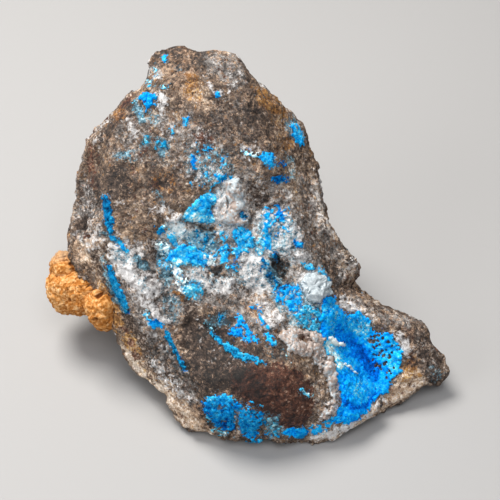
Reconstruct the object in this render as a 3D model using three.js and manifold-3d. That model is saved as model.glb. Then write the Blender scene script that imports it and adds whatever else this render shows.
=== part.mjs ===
// A cyanotrichite hand specimen: a wedge of broken rock that rests on its flat underside, with its
// show face leaning back, blue crusts on that face, pale quartz and an ochre limonite lump.
// Millimetres, +Z up. The origin is a point on the resting face, under the middle of the show face.
import * as THREE from 'three';
import { mergeVertices } from 'three/addons/utils/BufferGeometryUtils.js';
import Module from 'manifold-3d';

const wasm = await Module();
wasm.setup();

// ---- driving dimensions ----
const faceLean = 45;          // degrees that the show face leans back from upright
const faceHeight = 27.5;       // height of the face's middle above the resting face
const flankSplay = 1 / 208;   // the flanks splay by this share for each millimetre of depth
const edgeRound = 1.2;        // rounding where a broken facet meets the next
const rimGrow = 0.25;         // makes up for what that rounding takes off the outline
const faceRelief = 0.4;       // unevenness of the show face
const backRelief = 1.3;       // unevenness of the broken back
const rockReliefSize = 7;     // distance between one unevenness and the next
const rockDetail = 14;        // subdivisions of the ball that the rock's mesh starts from
const seatGap = 0.3;          // clearance between the rock and what grew on it
const crustThickness = 0.8;   // how far a blue crust stands off the rock
const bladeThickness = 1.1;   // how far the quartz blade stands off the rock
const crustFloor = 1.2;       // lowest height that a crust reaches
const columnLength = 10;      // length of the column that cuts a crust to its outline

// ---- frame of the show face: x across, v up the face, w out of it ----
const lean = THREE.MathUtils.degToRad(faceLean);
const up = new THREE.Vector3(0, Math.sin(lean), Math.cos(lean));
const out = new THREE.Vector3(0, -Math.cos(lean), Math.sin(lean));
const faceMiddle = new THREE.Vector3(0, 0, faceHeight);

function fromFace(x, v, w) {
  return faceMiddle.clone().addScaledVector(up, v).addScaledVector(out, w).setX(x);
}

function toFace(point) {
  const offset = point.clone().sub(faceMiddle);
  return { x: offset.x, v: offset.dot(up), w: offset.dot(out) };
}

// The rock's outline on the show face, clockwise from the peak: [x, v] in millimetres.
const outline = [
  [-12.1, 35.8], [-10.6, 35.2], [-5.6, 35.0], [-3.5, 34.8], [-2.4, 34.0], [0, 31.1], [2.5, 28.5],
  [4.8, 26.9], [7.2, 24.6], [8.6, 22.7], [9.7, 20.6], [10.2, 18.1], [11.4, 15.8], [12.1, 13.2],
  [12.4, 10.2], [12.8, 7.6], [13.7, 4.9], [15.1, 3.0], [16.4, 0.5], [17.6, -0.7], [18.7, -2.1],
  [18.9, -3.3], [18.8, -4.8], [17.6, -5.4], [16.4, -5.7], [16.0, -6.7], [17.6, -7.2], [20.4, -8.8],
  [22.3, -10.1], [25.6, -10.9], [29.5, -12.0], [30.8, -12.9], [31.7, -14.3], [31.5, -15.8],
  [32.9, -17.3], [34.3, -18.7], [35.1, -20.2], [35.2, -22.2], [34.3, -23.7], [31.5, -24.1],
  [29.2, -24.8], [26.6, -26.6], [24.1, -27.8], [21.5, -29.2], [18.8, -30.4], [17.3, -32.0],
  [15.3, -33.4], [13.7, -33.9], [11.1, -34.0], [8.6, -33.4], [2.8, -33.4], [0, -33.9], [-3.7, -33.7],
  [-5.5, -33.1], [-7.0, -32.2], [-11.1, -31.4], [-13.2, -29.2], [-14.1, -27.5], [-14.5, -25.6],
  [-15.5, -24.6], [-18.8, -22.5], [-20.2, -20.9], [-20.9, -18.8], [-22.2, -16.8], [-23.1, -15.1],
  [-25.0, -12.0], [-26.8, -9.2], [-29.2, -6.0], [-31.7, -2.5], [-32.3, -0.5], [-31.7, 1.8],
  [-31.4, 4.4], [-30.9, 6.2], [-30.7, 10.9], [-29.5, 14.3], [-29.2, 16.7], [-28.8, 19.0],
  [-26.5, 21.1], [-24.6, 22.9], [-23.1, 24.6], [-22.4, 26.4], [-21.2, 27.3], [-19.4, 28.2],
  [-18.0, 29.9], [-17.6, 33.4], [-17.2, 34.3], [-15.8, 35.2], [-14.1, 35.6],
];

// A facet of the show face: it passes through a point and falls away at a slope in one direction.
function facet(x, v, w, towardX, towardV, slope) {
  const length = Math.hypot(towardX, towardV);
  return { x, v, w, gx: slope * towardX / length, gv: slope * towardV / length };
}

const bodyFacets = [
  facet(-9, 20, 0.3, 0, 1, -0.03),            // the flat of the show face
  facet(-2.1, 33.8, 0.4, 0.94, 0.34, -1.5),   // right flank, from the ridge
  facet(3.5, 30, -4.5, 0.94, 0.34, -2.6),     // the same flank, where it turns steep
  facet(-25.9, 5, 0, -1, 0.08, -2.2),         // left flank
  facet(-25, 17, 0.2, -0.86, 0.51, -0.8),     // left shoulder
  facet(-12, 33.5, 0, 0, 1, -0.9),            // crown
  facet(-24.6, -2.5, 0.5, -0.88, -0.48, -1.5), // layered face at the lower left
  facet(0, -31.5, 0, 0, -1, -1),              // front foot
];

const tongueFacets = [
  facet(15, -18, -1.6, 1, 0, -0.2),           // back of the tongue
  facet(20, -9.5, -3.4, 0.4, 1, -2.4),        // its upper edge
  facet(33, -19, -5.4, 1, 0.2, -1.1),         // its tip
  facet(12.5, -20, -2, -1, 0, -2),            // its root, below the bulge
];

// The upper block stands proud of the middle along this step: [x, v].
const stepLine = [[-40, 1], [-25, 1.5], [-16, 3], [-12, 6], [-6, 10.6], [0, 13], [6, 14], [40, 16]];
const stepHeight = 1.5;
const stepWidth = 1.4;

// Domes and hollows of the show face: middle, half sizes across and up, turn in degrees, height.
const darkBulge = { x: 1.2, v: -23, halfX: 13.5, halfV: 11, turn: -12, height: 5 };
const pocketHollow = { x: 19.5, v: -19, halfX: 8, halfV: 11, turn: 18, height: -3.4 };
const middleHollow = { x: 4, v: -5, halfX: 11, halfV: 7, turn: 0, height: -1.2 };

// Broken facets behind and under the rock: a point on each and its outward direction, [x, y, z].
const hiddenFacets = [
  { at: [0, 31, 25], outward: [0.05, 1, 0.06] },
  { at: [-36, 18, 26], outward: [-0.8, 0.62, 0.12] },
  { at: [19, 19, 20], outward: [0.78, 0.62, 0.05] },
  { at: [27, 8, 10], outward: [0.6, 0.75, -0.1] },
  { at: [0, 12, 0], outward: [-0.05, 0.4, -0.9] },
  { at: [-14, 0, 0], outward: [-0.5, -0.05, -0.86] },
  { at: [17, 0, 0], outward: [0.1, 0.03, -0.99] },
  { at: [0, -24.2, 0], outward: [0, -0.8, -0.6] },
];

// ---- smooth joins of facets ----
function smoothMax(a, b, width) {
  const blend = Math.max(width - Math.abs(a - b), 0) / width;
  return Math.max(a, b) + blend * blend * width / 4;
}

function smoothMin(a, b, width) {
  return -smoothMax(-a, -b, width);
}

function smoothStep(t) {
  const s = THREE.MathUtils.clamp(t, 0, 1);
  return s * s * (3 - 2 * s);
}

// Repeatable noise between -1 and 1: random values on a lattice, blended between the corners.
function latticeValue(i, j, k) {
  let h = Math.imul(i, 374761393) + Math.imul(j, 668265263) + Math.imul(k, 2147483647);
  h = Math.imul(h ^ (h >>> 13), 1274126177);
  return ((h ^ (h >>> 16)) >>> 0) / 2147483648 - 1;
}

function noise(x, y, z) {
  const [i, j, k] = [Math.floor(x), Math.floor(y), Math.floor(z)];
  const [a, b, c] = [smoothStep(x - i), smoothStep(y - j), smoothStep(z - k)];
  let total = 0;
  for (let corner = 0; corner < 8; corner++) {
    const [di, dj, dk] = [corner & 1, (corner >> 1) & 1, corner >> 2];
    const weight = (di ? a : 1 - a) * (dj ? b : 1 - b) * (dk ? c : 1 - c);
    total += weight * latticeValue(i + di, j + dj, k + dk);
  }
  return total;
}

// The broken surface is uneven, more so on the flanks and the back than on the show face.
function relief(point, depth) {
  const s = rockReliefSize;
  const coarse = noise(point.x / s, point.y / s, point.z / s);
  const fine = noise(point.x * 2.3 / s + 9, point.y * 2.3 / s, point.z * 2.3 / s);
  const height = faceRelief + (backRelief - faceRelief) * smoothStep((depth - 6) / 12);
  return height * (coarse + 0.5 * fine);
}

// ---- the rock as a field: negative inside, about the distance in millimetres outside ----
function distanceToOutline(x, v) {
  let nearest = Infinity;
  let inside = false;
  outline.forEach(([ax, av], index) => {
    const [bx, bv] = outline[(index + 1) % outline.length];
    const [dx, dv] = [bx - ax, bv - av];
    const t = THREE.MathUtils.clamp(((x - ax) * dx + (v - av) * dv) / (dx * dx + dv * dv), 0, 1);
    nearest = Math.min(nearest, Math.hypot(x - ax - t * dx, v - av - t * dv));
    if ((av > v) !== (bv > v) && x < ax + (v - av) * dx / dv) {
      inside = !inside;
    }
  });
  return inside ? -nearest : nearest;
}

function stepAt(x) {
  const next = stepLine.findIndex(([px]) => px > x);
  const [ax, av] = stepLine[next - 1];
  const [bx, bv] = stepLine[next];
  return av + (bv - av) * (x - ax) / (bx - ax);
}

function dome(shape, x, v) {
  const turn = THREE.MathUtils.degToRad(shape.turn);
  const [dx, dv] = [x - shape.x, v - shape.v];
  const a = (dx * Math.cos(turn) + dv * Math.sin(turn)) / shape.halfX;
  const b = (dv * Math.cos(turn) - dx * Math.sin(turn)) / shape.halfV;
  const fall = Math.max(1 - a * a - b * b, 0);
  return shape.height * fall * fall * (3 - 2 * fall);
}

function lowestFacet(facets, x, v) {
  const heights = facets.map((f) => f.w + f.gx * (x - f.x) + f.gv * (v - f.v));
  return heights.reduce((a, b) => smoothMin(a, b, edgeRound));
}

function faceHeightAt(x, v) {
  const body = lowestFacet(bodyFacets, x, v);
  const tongue = lowestFacet(tongueFacets, x, v);
  const below = smoothStep((stepAt(x) - v) / stepWidth + 0.5);
  const shapes = [darkBulge, pocketHollow, middleHollow];
  const domes = shapes.reduce((sum, shape) => sum + dome(shape, x, v), 0);
  return smoothMax(body, tongue, 2 * edgeRound) - stepHeight * below + domes;
}

function rockField(point) {
  const face = toFace(point);
  const splay = 1 - face.w * flankSplay;
  const [x, v] = [face.x / splay, face.v / splay];
  const here = faceHeightAt(x, v);
  const slope = Math.hypot(faceHeightAt(x + 0.1, v) - here, faceHeightAt(x, v + 0.1) - here) / 0.1;
  const front = (face.w - here) / Math.hypot(1, slope);
  let field = smoothMax(distanceToOutline(x, v) - rimGrow, front, edgeRound);
  for (const { at, outward } of hiddenFacets) {
    const normal = new THREE.Vector3(...outward).normalize();
    const distance = normal.dot(point.clone().sub(new THREE.Vector3(...at)));
    field = smoothMax(field, distance, edgeRound);
  }
  return Math.max(field + relief(point, -face.w), -point.z);
}

// ---- solids ----
function withoutExtras(geometry) {
  geometry.deleteAttribute('normal');
  geometry.deleteAttribute('uv');
  return mergeVertices(geometry, 1e-4);
}

function solidFrom(geometry) {
  const merged = withoutExtras(geometry);
  const vertProperties = new Float32Array(merged.attributes.position.array);
  const triVerts = new Uint32Array(merged.index.array);
  return new wasm.Manifold(new wasm.Mesh({ numProp: 3, vertProperties, triVerts }));
}

function geometryFrom(solid) {
  const { numProp, vertProperties, triVerts } = solid.getMesh();
  const geometry = new THREE.BufferGeometry();
  const positions = new Float32Array(vertProperties.length / numProp * 3);
  for (let i = 0; i < positions.length / 3; i++) {
    positions.set(vertProperties.slice(i * numProp, i * numProp + 3), i * 3);
  }
  geometry.setAttribute('position', new THREE.BufferAttribute(positions, 3));
  geometry.setIndex(Array.from(triVerts));
  geometry.computeVertexNormals();
  return geometry;
}

// ---- the rock's surface: a ball pushed out onto the field, then evened over it ----
// Every line from the core meets the rock once; the reach spreads the lines over its long sides.
const rockCore = fromFace(-3.5, -3, -14);
const rockReach = { x: 38, v: 34, w: 16 };
const farthest = 70;
const evenRounds = 8;
const evenPull = 0.5;

function firstPointAlong(direction) {
  const point = rockCore.clone().addScaledVector(direction, 5);
  let depth = -rockField(point);
  while (depth > 0.02 && point.distanceTo(rockCore) < farthest) {
    point.addScaledVector(direction, Math.max(0.7 * depth, 0.02));
    depth = -rockField(point);
  }
  return point;
}

function slopeAt(point) {
  const probe = 0.05;
  const here = rockField(point);
  return new THREE.Vector3(
    rockField(point.clone().setX(point.x + probe)) - here,
    rockField(point.clone().setY(point.y + probe)) - here,
    rockField(point.clone().setZ(point.z + probe)) - here,
  ).divideScalar(probe);
}

// Moves a point onto the surface where the field equals offset, by a few short steps.
function settle(point, offset, steps) {
  for (let step = 0; step < steps; step++) {
    const slope = slopeAt(point);
    const move = (offset - rockField(point)) / Math.max(slope.lengthSq(), 0.2);
    point.addScaledVector(slope, THREE.MathUtils.clamp(move, -1, 1));
  }
  return point;
}

// Draws a point along the surface towards the middle of its neighbours.
function slide(point, middle) {
  const normal = slopeAt(point).normalize();
  const pull = middle.clone().sub(point).multiplyScalar(evenPull);
  pull.addScaledVector(normal, -pull.dot(normal));
  return settle(point.clone().add(pull), 0, 1);
}

function neighbourLists(index, count) {
  const lists = Array.from({ length: count }, () => new Set());
  for (let i = 0; i < index.length; i += 3) {
    for (let side = 0; side < 3; side++) {
      lists[index[i + side]].add(index[i + (side + 1) % 3]);
      lists[index[i + (side + 1) % 3]].add(index[i + side]);
    }
  }
  return lists.map((list) => [...list]);
}

function average(points) {
  const sum = points.reduce((total, point) => total.add(point), new THREE.Vector3());
  return sum.divideScalar(points.length);
}

const rockBall = withoutExtras(new THREE.IcosahedronGeometry(1, rockDetail));
const rockIndex = Array.from(rockBall.index.array);

function rockPoints() {
  const { position } = rockBall.attributes;
  let points = Array.from({ length: position.count }, (_, i) => {
    const direction = new THREE.Vector3(position.getX(i) * rockReach.x, 0, 0)
      .addScaledVector(up, position.getY(i) * rockReach.v)
      .addScaledVector(out, position.getZ(i) * rockReach.w)
      .normalize();
    return firstPointAlong(direction);
  });
  const neighbours = neighbourLists(rockIndex, points.length);
  for (let round = 0; round < evenRounds; round++) {
    const middles = neighbours.map((list) => average(list.map((i) => points[i])));
    points = points.map((point, i) => slide(point, middles[i]));
  }
  return points.map((point) => settle(point, 0, 2));
}

const surface = rockPoints();

// The rock grown outwards by offset, with its resting face cut flat at the given height.
function rockSolid(offset, floor) {
  const positions = surface.flatMap((point) => {
    const grown = offset > 0 ? settle(point.clone(), offset, 3) : point;
    return [grown.x, grown.y, Math.max(grown.z, floor)];
  });
  const geometry = new THREE.BufferGeometry();
  geometry.setAttribute('position', new THREE.Float32BufferAttribute(positions, 3));
  geometry.setIndex(rockIndex);
  return solidFrom(geometry);
}

const rock = rockSolid(0, 0);
const rockSeat = rockSolid(seatGap, -1);
const crustTop = rockSolid(seatGap + crustThickness, crustFloor);
const bladeTop = rockSolid(seatGap + bladeThickness, crustFloor);

// ---- lumps: balls with an uneven surface, joined, then seated on the rock ----
// Lobes of the limonite lump and of the quartz knob, each at [x, v, w] with its half sizes.
const limoniteLobes = [
  { at: [-34.4, -2.6, -14], half: [2.4, 2.8, 3.6] },
  { at: [-33.2, -7.2, -15], half: [4.2, 3.9, 5] },
  { at: [-30.4, -7.8, -12.8], half: [3.4, 3.2, 4.4] },
  { at: [-26.6, -10.4, -9.8], half: [2.6, 3.9, 4] },
];
const knobLobes = [
  { at: [11, -5.3, -1.8], half: [2.5, 2.3, 2.6] },
  { at: [12, -7.8, -1.9], half: [2.1, 2.2, 2.4] },
];

// The pale rim is a string of beads around the bulge's right side: [x, v, w, radius].
const rimBeads = [
  [5.9, -15.2, 0.9, 1.5], [8.3, -15.2, 1, 1.7], [10.8, -16, 0.8, 1.7], [12.8, -17.6, 0.3, 1.6],
  [14.4, -19.6, -0.2, 1.7], [14.8, -21.8, -0.6, 1.5], [14.8, -24, -0.7, 1.5], [14.7, -26.2, -0.6, 1.6],
  [14, -28.2, -0.6, 1.5],
];
const rimLobes = rimBeads.map(([x, v, w, r]) => ({ at: [x, v, w], half: [r, r, r] }));

function lobe({ at, half }, grown, roughness, detail) {
  const geometry = new THREE.IcosahedronGeometry(1, detail);
  const { position } = geometry.attributes;
  for (let i = 0; i < position.count; i++) {
    const [x, y, z] = [position.getX(i), position.getY(i), position.getZ(i)];
    const swell = 1 + roughness * noise(3 * x + at[0], 3 * y + at[1], 3 * z + at[2]);
    const [a, b, c] = half.map((size) => size * swell + grown);
    position.setXYZ(i, a * x, b * y, c * z);
  }
  const basis = new THREE.Matrix4().makeBasis(new THREE.Vector3(1, 0, 0), up, out);
  geometry.applyMatrix4(basis.setPosition(fromFace(...at)));
  return solidFrom(geometry);
}

function lump(lobes, grown, roughness, detail) {
  return lobes.map((one) => lobe(one, grown, roughness, detail)).reduce((a, b) => a.add(b));
}

const limonite = { lobes: limoniteLobes, roughness: 0.18, detail: 3 };
const knob = { lobes: knobLobes, roughness: 0.12, detail: 3 };
const rim = { lobes: rimLobes, roughness: 0.14, detail: 2 };

function seatedLump({ lobes, roughness, detail }) {
  return geometryFrom(lump(lobes, 0, roughness, detail).subtract(rockSeat));
}

// ---- crusts: a layer of the rock's own surface, cut to an outline ----
// What a crust must stay clear of: the rock and the lumps, each grown by the seat gap.
const crustSeat = [limonite, knob, rim]
  .map(({ lobes, roughness, detail }) => lump(lobes, seatGap, roughness, detail))
  .reduce((a, b) => a.add(b), rockSeat);

// A closed column out of the face, over an outline [x, v], around a depth w.
function column(points, depth) {
  const shape = new THREE.Shape(points.map(([x, v]) => new THREE.Vector2(x, v)));
  const geometry = new THREE.ExtrudeGeometry(shape, { depth: columnLength, bevelEnabled: false });
  const basis = new THREE.Matrix4().makeBasis(new THREE.Vector3(1, 0, 0), up, out);
  geometry.applyMatrix4(basis.setPosition(fromFace(0, 0, depth - columnLength / 2)));
  return solidFrom(geometry);
}

function crust(points, depth, top = crustTop) {
  return geometryFrom(top.intersect(column(points, depth)).subtract(crustSeat));
}

// ---- materials ----
function material(color, roughness) {
  return new THREE.MeshStandardMaterial({ color, roughness, metalness: 0 });
}

const rockBrown = material('#6f6155', 0.9);
const limoniteOchre = material('#c98a3f', 0.95);
const deepBlue = material('#0c62c4', 0.75);
const azureBlue = material('#1f93dc', 0.75);
const quartzWhite = material('#d9d8d4', 0.5);
const quartzCream = material('#cfc2b0', 0.6);

// ---- outlines of the growths on the face: [x, v] ----
const pocketOutline = [
  [13.4, -8.6], [14.8, -8.4], [15.4, -10.0], [16.8, -11.5], [19.0, -11.0], [20.8, -12.0],
  [21.6, -14.1], [23.6, -14.4], [25.4, -15.0], [26.2, -17.0], [27.0, -18.2], [26.6, -19.8],
  [26.9, -21.3], [25.6, -22.7], [24.4, -24.2], [22.6, -26.2], [21.6, -28.0], [19.8, -29.6],
  [17.7, -30.3], [15.0, -30.2], [15.2, -28.6], [16.1, -26.6], [15.3, -23.8], [16.3, -20.5],
  [15.0, -18.5], [13.2, -17.2], [12.8, -14.8],
];
const footOutline = [
  [-8.2, -26.9], [-6.7, -25.8], [-4.9, -25.6], [-3.2, -26.2], [-1.8, -27.4], [-0.7, -28.6],
  [2.2, -28.9], [2.5, -30.2], [1.4, -31.8], [2.0, -33.0], [-1.8, -32.8], [-4.0, -32.5],
  [-5.4, -31.6], [-6.8, -30.0], [-8.0, -28.6],
];
const lensOutline = [
  [5.4, -32.0], [6.6, -31.2], [8.6, -31.1], [10.2, -31.4], [10.4, -32.2], [8.8, -32.9], [6.6, -32.9],
];
const streakOutline = [
  [-7.9, -13.6], [-6.2, -14.8], [-4.2, -16.0], [-1.6, -17.8], [1.6, -19.2], [2.0, -20.6],
  [-0.6, -20.2], [-2.8, -19.2], [-5.0, -17.2], [-6.8, -15.6],
];
const wedgeOutline = [
  [-12.3, 6.0], [-9.7, 8.3], [-7.0, 10.4], [-5.8, 8.8], [-6.3, 7.4], [-6.4, 4.6], [-8.8, 4.8],
  [-10.6, 5.2],
];
const centreOutline = [
  [-15.0, -2.1], [-13.2, 0.5], [-11.4, 1.2], [-9.2, 0], [-7.9, -2.1], [-8.2, -3.6], [-10.6, -2.8],
  [-12.4, -2.9], [-14.2, -3.2],
];
const clusterOutline = [
  [-2.8, 3.8], [-0.9, 4.2], [0.9, 2.4], [0.6, 0.4], [-0.9, -0.4], [-1.6, -3.6], [-3.8, -4.4],
  [-3.6, -0.6], [-2.6, 1.6],
];
const upperVeinOutline = [
  [-25.7, 9.4], [-24.8, 9.0], [-24.2, 6.4], [-23.8, 3.6], [-24.0, 2.4], [-25.2, 3.4], [-25.4, 6.4],
];
const lowerVeinOutline = [
  [-25.5, -2.4], [-24.4, -2.6], [-23.6, -4.4], [-22.4, -7.0], [-21.4, -9.6], [-21.0, -11.2],
  [-22.0, -10.6], [-23.2, -7.8], [-24.8, -4.4],
];
const crownOutline = [
  [-19.4, 27.4], [-17.6, 28.0], [-16.3, 27.2], [-16.8, 25.2], [-17.9, 24.6], [-18.6, 25.6],
];
const shoulderOutline = [
  [7.4, 21.8], [8.8, 21.4], [9.2, 19.4], [8.6, 18.8], [7.8, 20.0],
];
const bladeOutline = [
  [-4.2, 12.3], [-2.5, 12.6], [-1.6, 9.7], [-0.6, 6.7], [-0.3, 5.2], [-2.6, 4.5], [-4.9, 5.2],
  [-5.3, 6.7], [-4.5, 8.8],
];

// ---- the specimen ----
const specimen = new THREE.Group();

function place(name, geometry, look) {
  const mesh = new THREE.Mesh(geometry, look);
  mesh.name = name;
  specimen.add(mesh);
}

place('matrix', geometryFrom(rock), rockBrown);
place('limonite_lump', seatedLump(limonite), limoniteOchre);
place('cyanotrichite_pocket', crust(pocketOutline, -3), deepBlue);
place('cyanotrichite_foot', crust(footOutline, 0), deepBlue);
place('cyanotrichite_lens', crust(lensOutline, 0), deepBlue);
place('cyanotrichite_streak', crust(streakOutline, 0), azureBlue);
place('cyanotrichite_wedge', crust(wedgeOutline, 0), azureBlue);
place('cyanotrichite_centre', crust(centreOutline, 0), azureBlue);
place('cyanotrichite_cluster', crust(clusterOutline, 0), azureBlue);
place('cyanotrichite_left_vein_upper', crust(upperVeinOutline, 0), deepBlue);
place('cyanotrichite_left_vein_lower', crust(lowerVeinOutline, -1), deepBlue);
place('cyanotrichite_crown', crust(crownOutline, 0), deepBlue);
place('cyanotrichite_shoulder', crust(shoulderOutline, -8), azureBlue);
place('quartz_knob', seatedLump(knob), quartzWhite);
place('quartz_rim', seatedLump(rim), quartzCream);
place('quartz_blade', crust(bladeOutline, 0, bladeTop), quartzCream);

export default specimen;
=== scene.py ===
import math
import random

import bmesh
import bpy
import numpy as np
from mathutils import Matrix, Vector, noise
from mathutils.bvhtree import BVHTree


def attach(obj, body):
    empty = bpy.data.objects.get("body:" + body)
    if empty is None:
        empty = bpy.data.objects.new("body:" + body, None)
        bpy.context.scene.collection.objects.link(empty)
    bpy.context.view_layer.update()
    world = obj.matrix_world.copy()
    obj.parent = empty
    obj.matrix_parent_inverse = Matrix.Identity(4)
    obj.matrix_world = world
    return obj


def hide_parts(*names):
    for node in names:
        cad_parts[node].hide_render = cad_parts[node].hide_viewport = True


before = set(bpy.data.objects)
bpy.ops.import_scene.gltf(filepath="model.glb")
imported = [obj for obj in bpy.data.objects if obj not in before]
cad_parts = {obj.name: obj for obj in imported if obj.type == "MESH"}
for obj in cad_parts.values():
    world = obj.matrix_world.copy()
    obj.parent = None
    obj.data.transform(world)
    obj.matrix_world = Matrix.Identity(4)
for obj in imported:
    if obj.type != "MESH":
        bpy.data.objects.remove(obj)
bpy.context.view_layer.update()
mm = 0.001
noise.seed_set(1)   # vector noise starts from the clock unless it is seeded

# The camera looks square onto the broken face. Marks on that face are given in view
# units, counted across and down in the camera's square view, so each is one place on the rock.
view = {
    "elevation": 45,      # degrees above level
    "distance": 0.208,    # from the camera to the middle of the face
    "lens": 85,           # mm, on a 36 mm sensor
    "sensor": 36,
    "height": 0.0275,     # of the middle of the face above the floor
    "across": 500,        # view units from side to side
    "nearest": 0.01,      # metres, nothing closer is drawn
}

tilt = math.radians(view["elevation"])
faceMiddle = np.array([0, 0, view["height"]])
faceUp = np.array([0, math.sin(tilt), math.cos(tilt)])
faceOut = np.array([0, -math.cos(tilt), math.sin(tilt)])
eye = faceMiddle + faceOut * view["distance"]
unit = view["distance"] * view["sensor"] / view["lens"] / view["across"]   # metres on the face


def onView(points):
    # where points in space are seen, in view units, as two columns
    fromMiddle = points - faceMiddle
    closer = view["distance"] / (view["distance"] - fromMiddle @ faceOut)
    across = view["across"] / 2 + fromMiddle[:, 0] * closer / unit
    down = view["across"] / 2 - fromMiddle @ faceUp * closer / unit
    return np.column_stack([across, down])


def nodeMesh(name):
    # a CAD node's shape with its loose triangles joined
    bm = bmesh.new()
    bm.from_mesh(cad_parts[name].data)
    bmesh.ops.remove_doubles(bm, verts=bm.verts, dist=0.001 * mm)
    return bm


def meshOf(bm, name):
    bmesh.ops.triangulate(bm, faces=[f for f in bm.faces if len(f.verts) > 3])
    mesh = bpy.data.meshes.new(name)
    bm.to_mesh(mesh)
    bm.free()
    return mesh


def halve(bm, edges):
    bmesh.ops.subdivide_edges(bm, edges=edges, cuts=1, use_grid_fill=True)


def soften(bm, verts, passes):
    for _ in range(passes):
        bmesh.ops.smooth_vert(
            bm, verts=verts, factor=0.5, use_axis_x=True, use_axis_y=True, use_axis_z=True
        )


def addObject(name, mesh, material, nodes=()):
    for polygon in mesh.polygons:
        polygon.use_smooth = True
    mesh.materials.clear()
    mesh.materials.append(material)
    piece = bpy.data.objects.new(name, mesh)
    bpy.context.scene.collection.objects.link(piece)
    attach(piece, "root")
    if nodes:
        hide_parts(*nodes)
    print(name, len(mesh.polygons), "faces")


def places(mesh):
    flat = np.empty(len(mesh.vertices) * 3)
    mesh.vertices.foreach_get("co", flat)
    return flat.reshape(-1, 3)


def directions(mesh):
    flat = np.empty(len(mesh.vertices) * 3)
    mesh.vertices.foreach_get("normal", flat)
    return flat.reshape(-1, 3)


def setPlaces(mesh, points):
    mesh.vertices.foreach_set("co", points.astype(np.float32).ravel())
    mesh.update()


def setField(mesh, name, values):
    field = mesh.attributes.get(name) or mesh.attributes.new(name, "FLOAT", "POINT")
    field.data.foreach_set("value", values.astype(np.float32))


def field(mesh, name):
    values = np.empty(len(mesh.vertices), np.float32)
    mesh.attributes[name].data.foreach_get("value", values)
    return values.astype(float)


def waves(points, size, shift=0.0):
    # smooth noise from about -1 to 1, size is one hump in mm
    offset = Vector((shift, 1.7 * shift, -0.6 * shift))
    return np.array([noise.noise(Vector(p) + offset) for p in points / (size * mm)])


def rough(points, size, octaves=4, shift=0.0):
    offset = Vector((shift, -shift, 2.3 * shift))
    return np.array([noise.fractal(Vector(p) + offset, 0.8, 2.1, octaves) for p in points / (size * mm)])


def grains(points, size, shift=0.0):
    # 0 in the middle of a grain, near 1 between grains
    offset = Vector((shift, shift, shift))
    return np.array([noise.voronoi(Vector(p) + offset)[0][0] for p in points / (size * mm)])


def bentCells(points, size, shift):
    # cells with bent edges: the bent point, its distances to the nearest cells and their middles
    offset = Vector((shift, -2.1 * shift, shift))
    for p in points / (size * mm):
        bent = Vector(p) + offset
        bent += 0.35 * noise.noise_vector(bent * 1.3)
        yield bent, *noise.voronoi(bent)


def chips(points, size, shift=0.0):
    # each cell is a small flat face with a lean of its own, as on broken stone
    heights = []
    for bent, _, middles in bentCells(points, size, shift):
        lean = noise.cell_vector(middles[0] * 7.3) - Vector((0.5, 0.5, 0.5))
        heights.append((bent - middles[0]).dot(lean))
    return np.array(heights)


def seams(points, size, shift=0.0):
    # how far each point is from the gap between two of those chips, 0 in the gap
    return np.array([near[1] - near[0] for _, near, _ in bentCells(points, size, shift)])


def blendStep(values, low, high):
    t = np.clip((values - low) / (high - low), 0, 1)
    return t * t * (3 - 2 * t)


def depthInside(spots, outline):
    # how far each spot is inside an outline, in view units; below 0 outside
    nearest = np.full(len(spots), 1e9)
    inside = np.zeros(len(spots), bool)
    for start, end in zip(outline, outline[1:] + outline[:1]):
        a, b = np.array(start, float), np.array(end, float)
        nearest = np.minimum(nearest, distanceToLine(spots, a, b))
        crosses = (spots[:, 1] < a[1]) != (spots[:, 1] < b[1])
        rise = b[1] - a[1] if b[1] != a[1] else 1e-9
        inside ^= crosses & (spots[:, 0] < a[0] + (spots[:, 1] - a[1]) / rise * (b[0] - a[0]))
    return np.where(inside, nearest, -nearest)


def distanceToLine(spots, a, b):
    along = b - a
    t = np.clip((spots - a) @ along / max(along @ along, 1e-9), 0, 1)
    return np.linalg.norm(spots - a - t[:, None] * along, axis=1)


def markDepth(spots, mark):
    # a mark is a closed outline, or a line with a width
    if "line" in mark:
        line = [np.array(p, float) for p in mark["line"]]
        nearest = np.min([distanceToLine(spots, a, b) for a, b in zip(line, line[1:])], axis=0)
        return mark["width"] / 2 - nearest
    return depthInside(spots, mark["outline"])


def softShare(spots, mark):
    return blendStep(markDepth(spots, mark), -mark["soft"], mark["soft"])


def weighted(weights, *layers):
    # a first number plus a share of each layer
    total = weights[0]
    for weight, layer in zip(weights[1:], layers):
        total = total + weight * layer
    return total


def coverage(spots, marks, soft):
    # 0 to 1 over all marks of one kind
    total = np.zeros(len(spots))
    for mark in marks.values():
        blur = mark.get("soft", soft)
        share = blendStep(markDepth(spots, mark), -blur, blur) * mark.get("share", 1)
        total = np.maximum(total, share)
    return total


def area(outline, **settings):
    return {"outline": outline, **settings}


def stripe(line, width, **settings):
    return {"line": line, "width": width, **settings}


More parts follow.
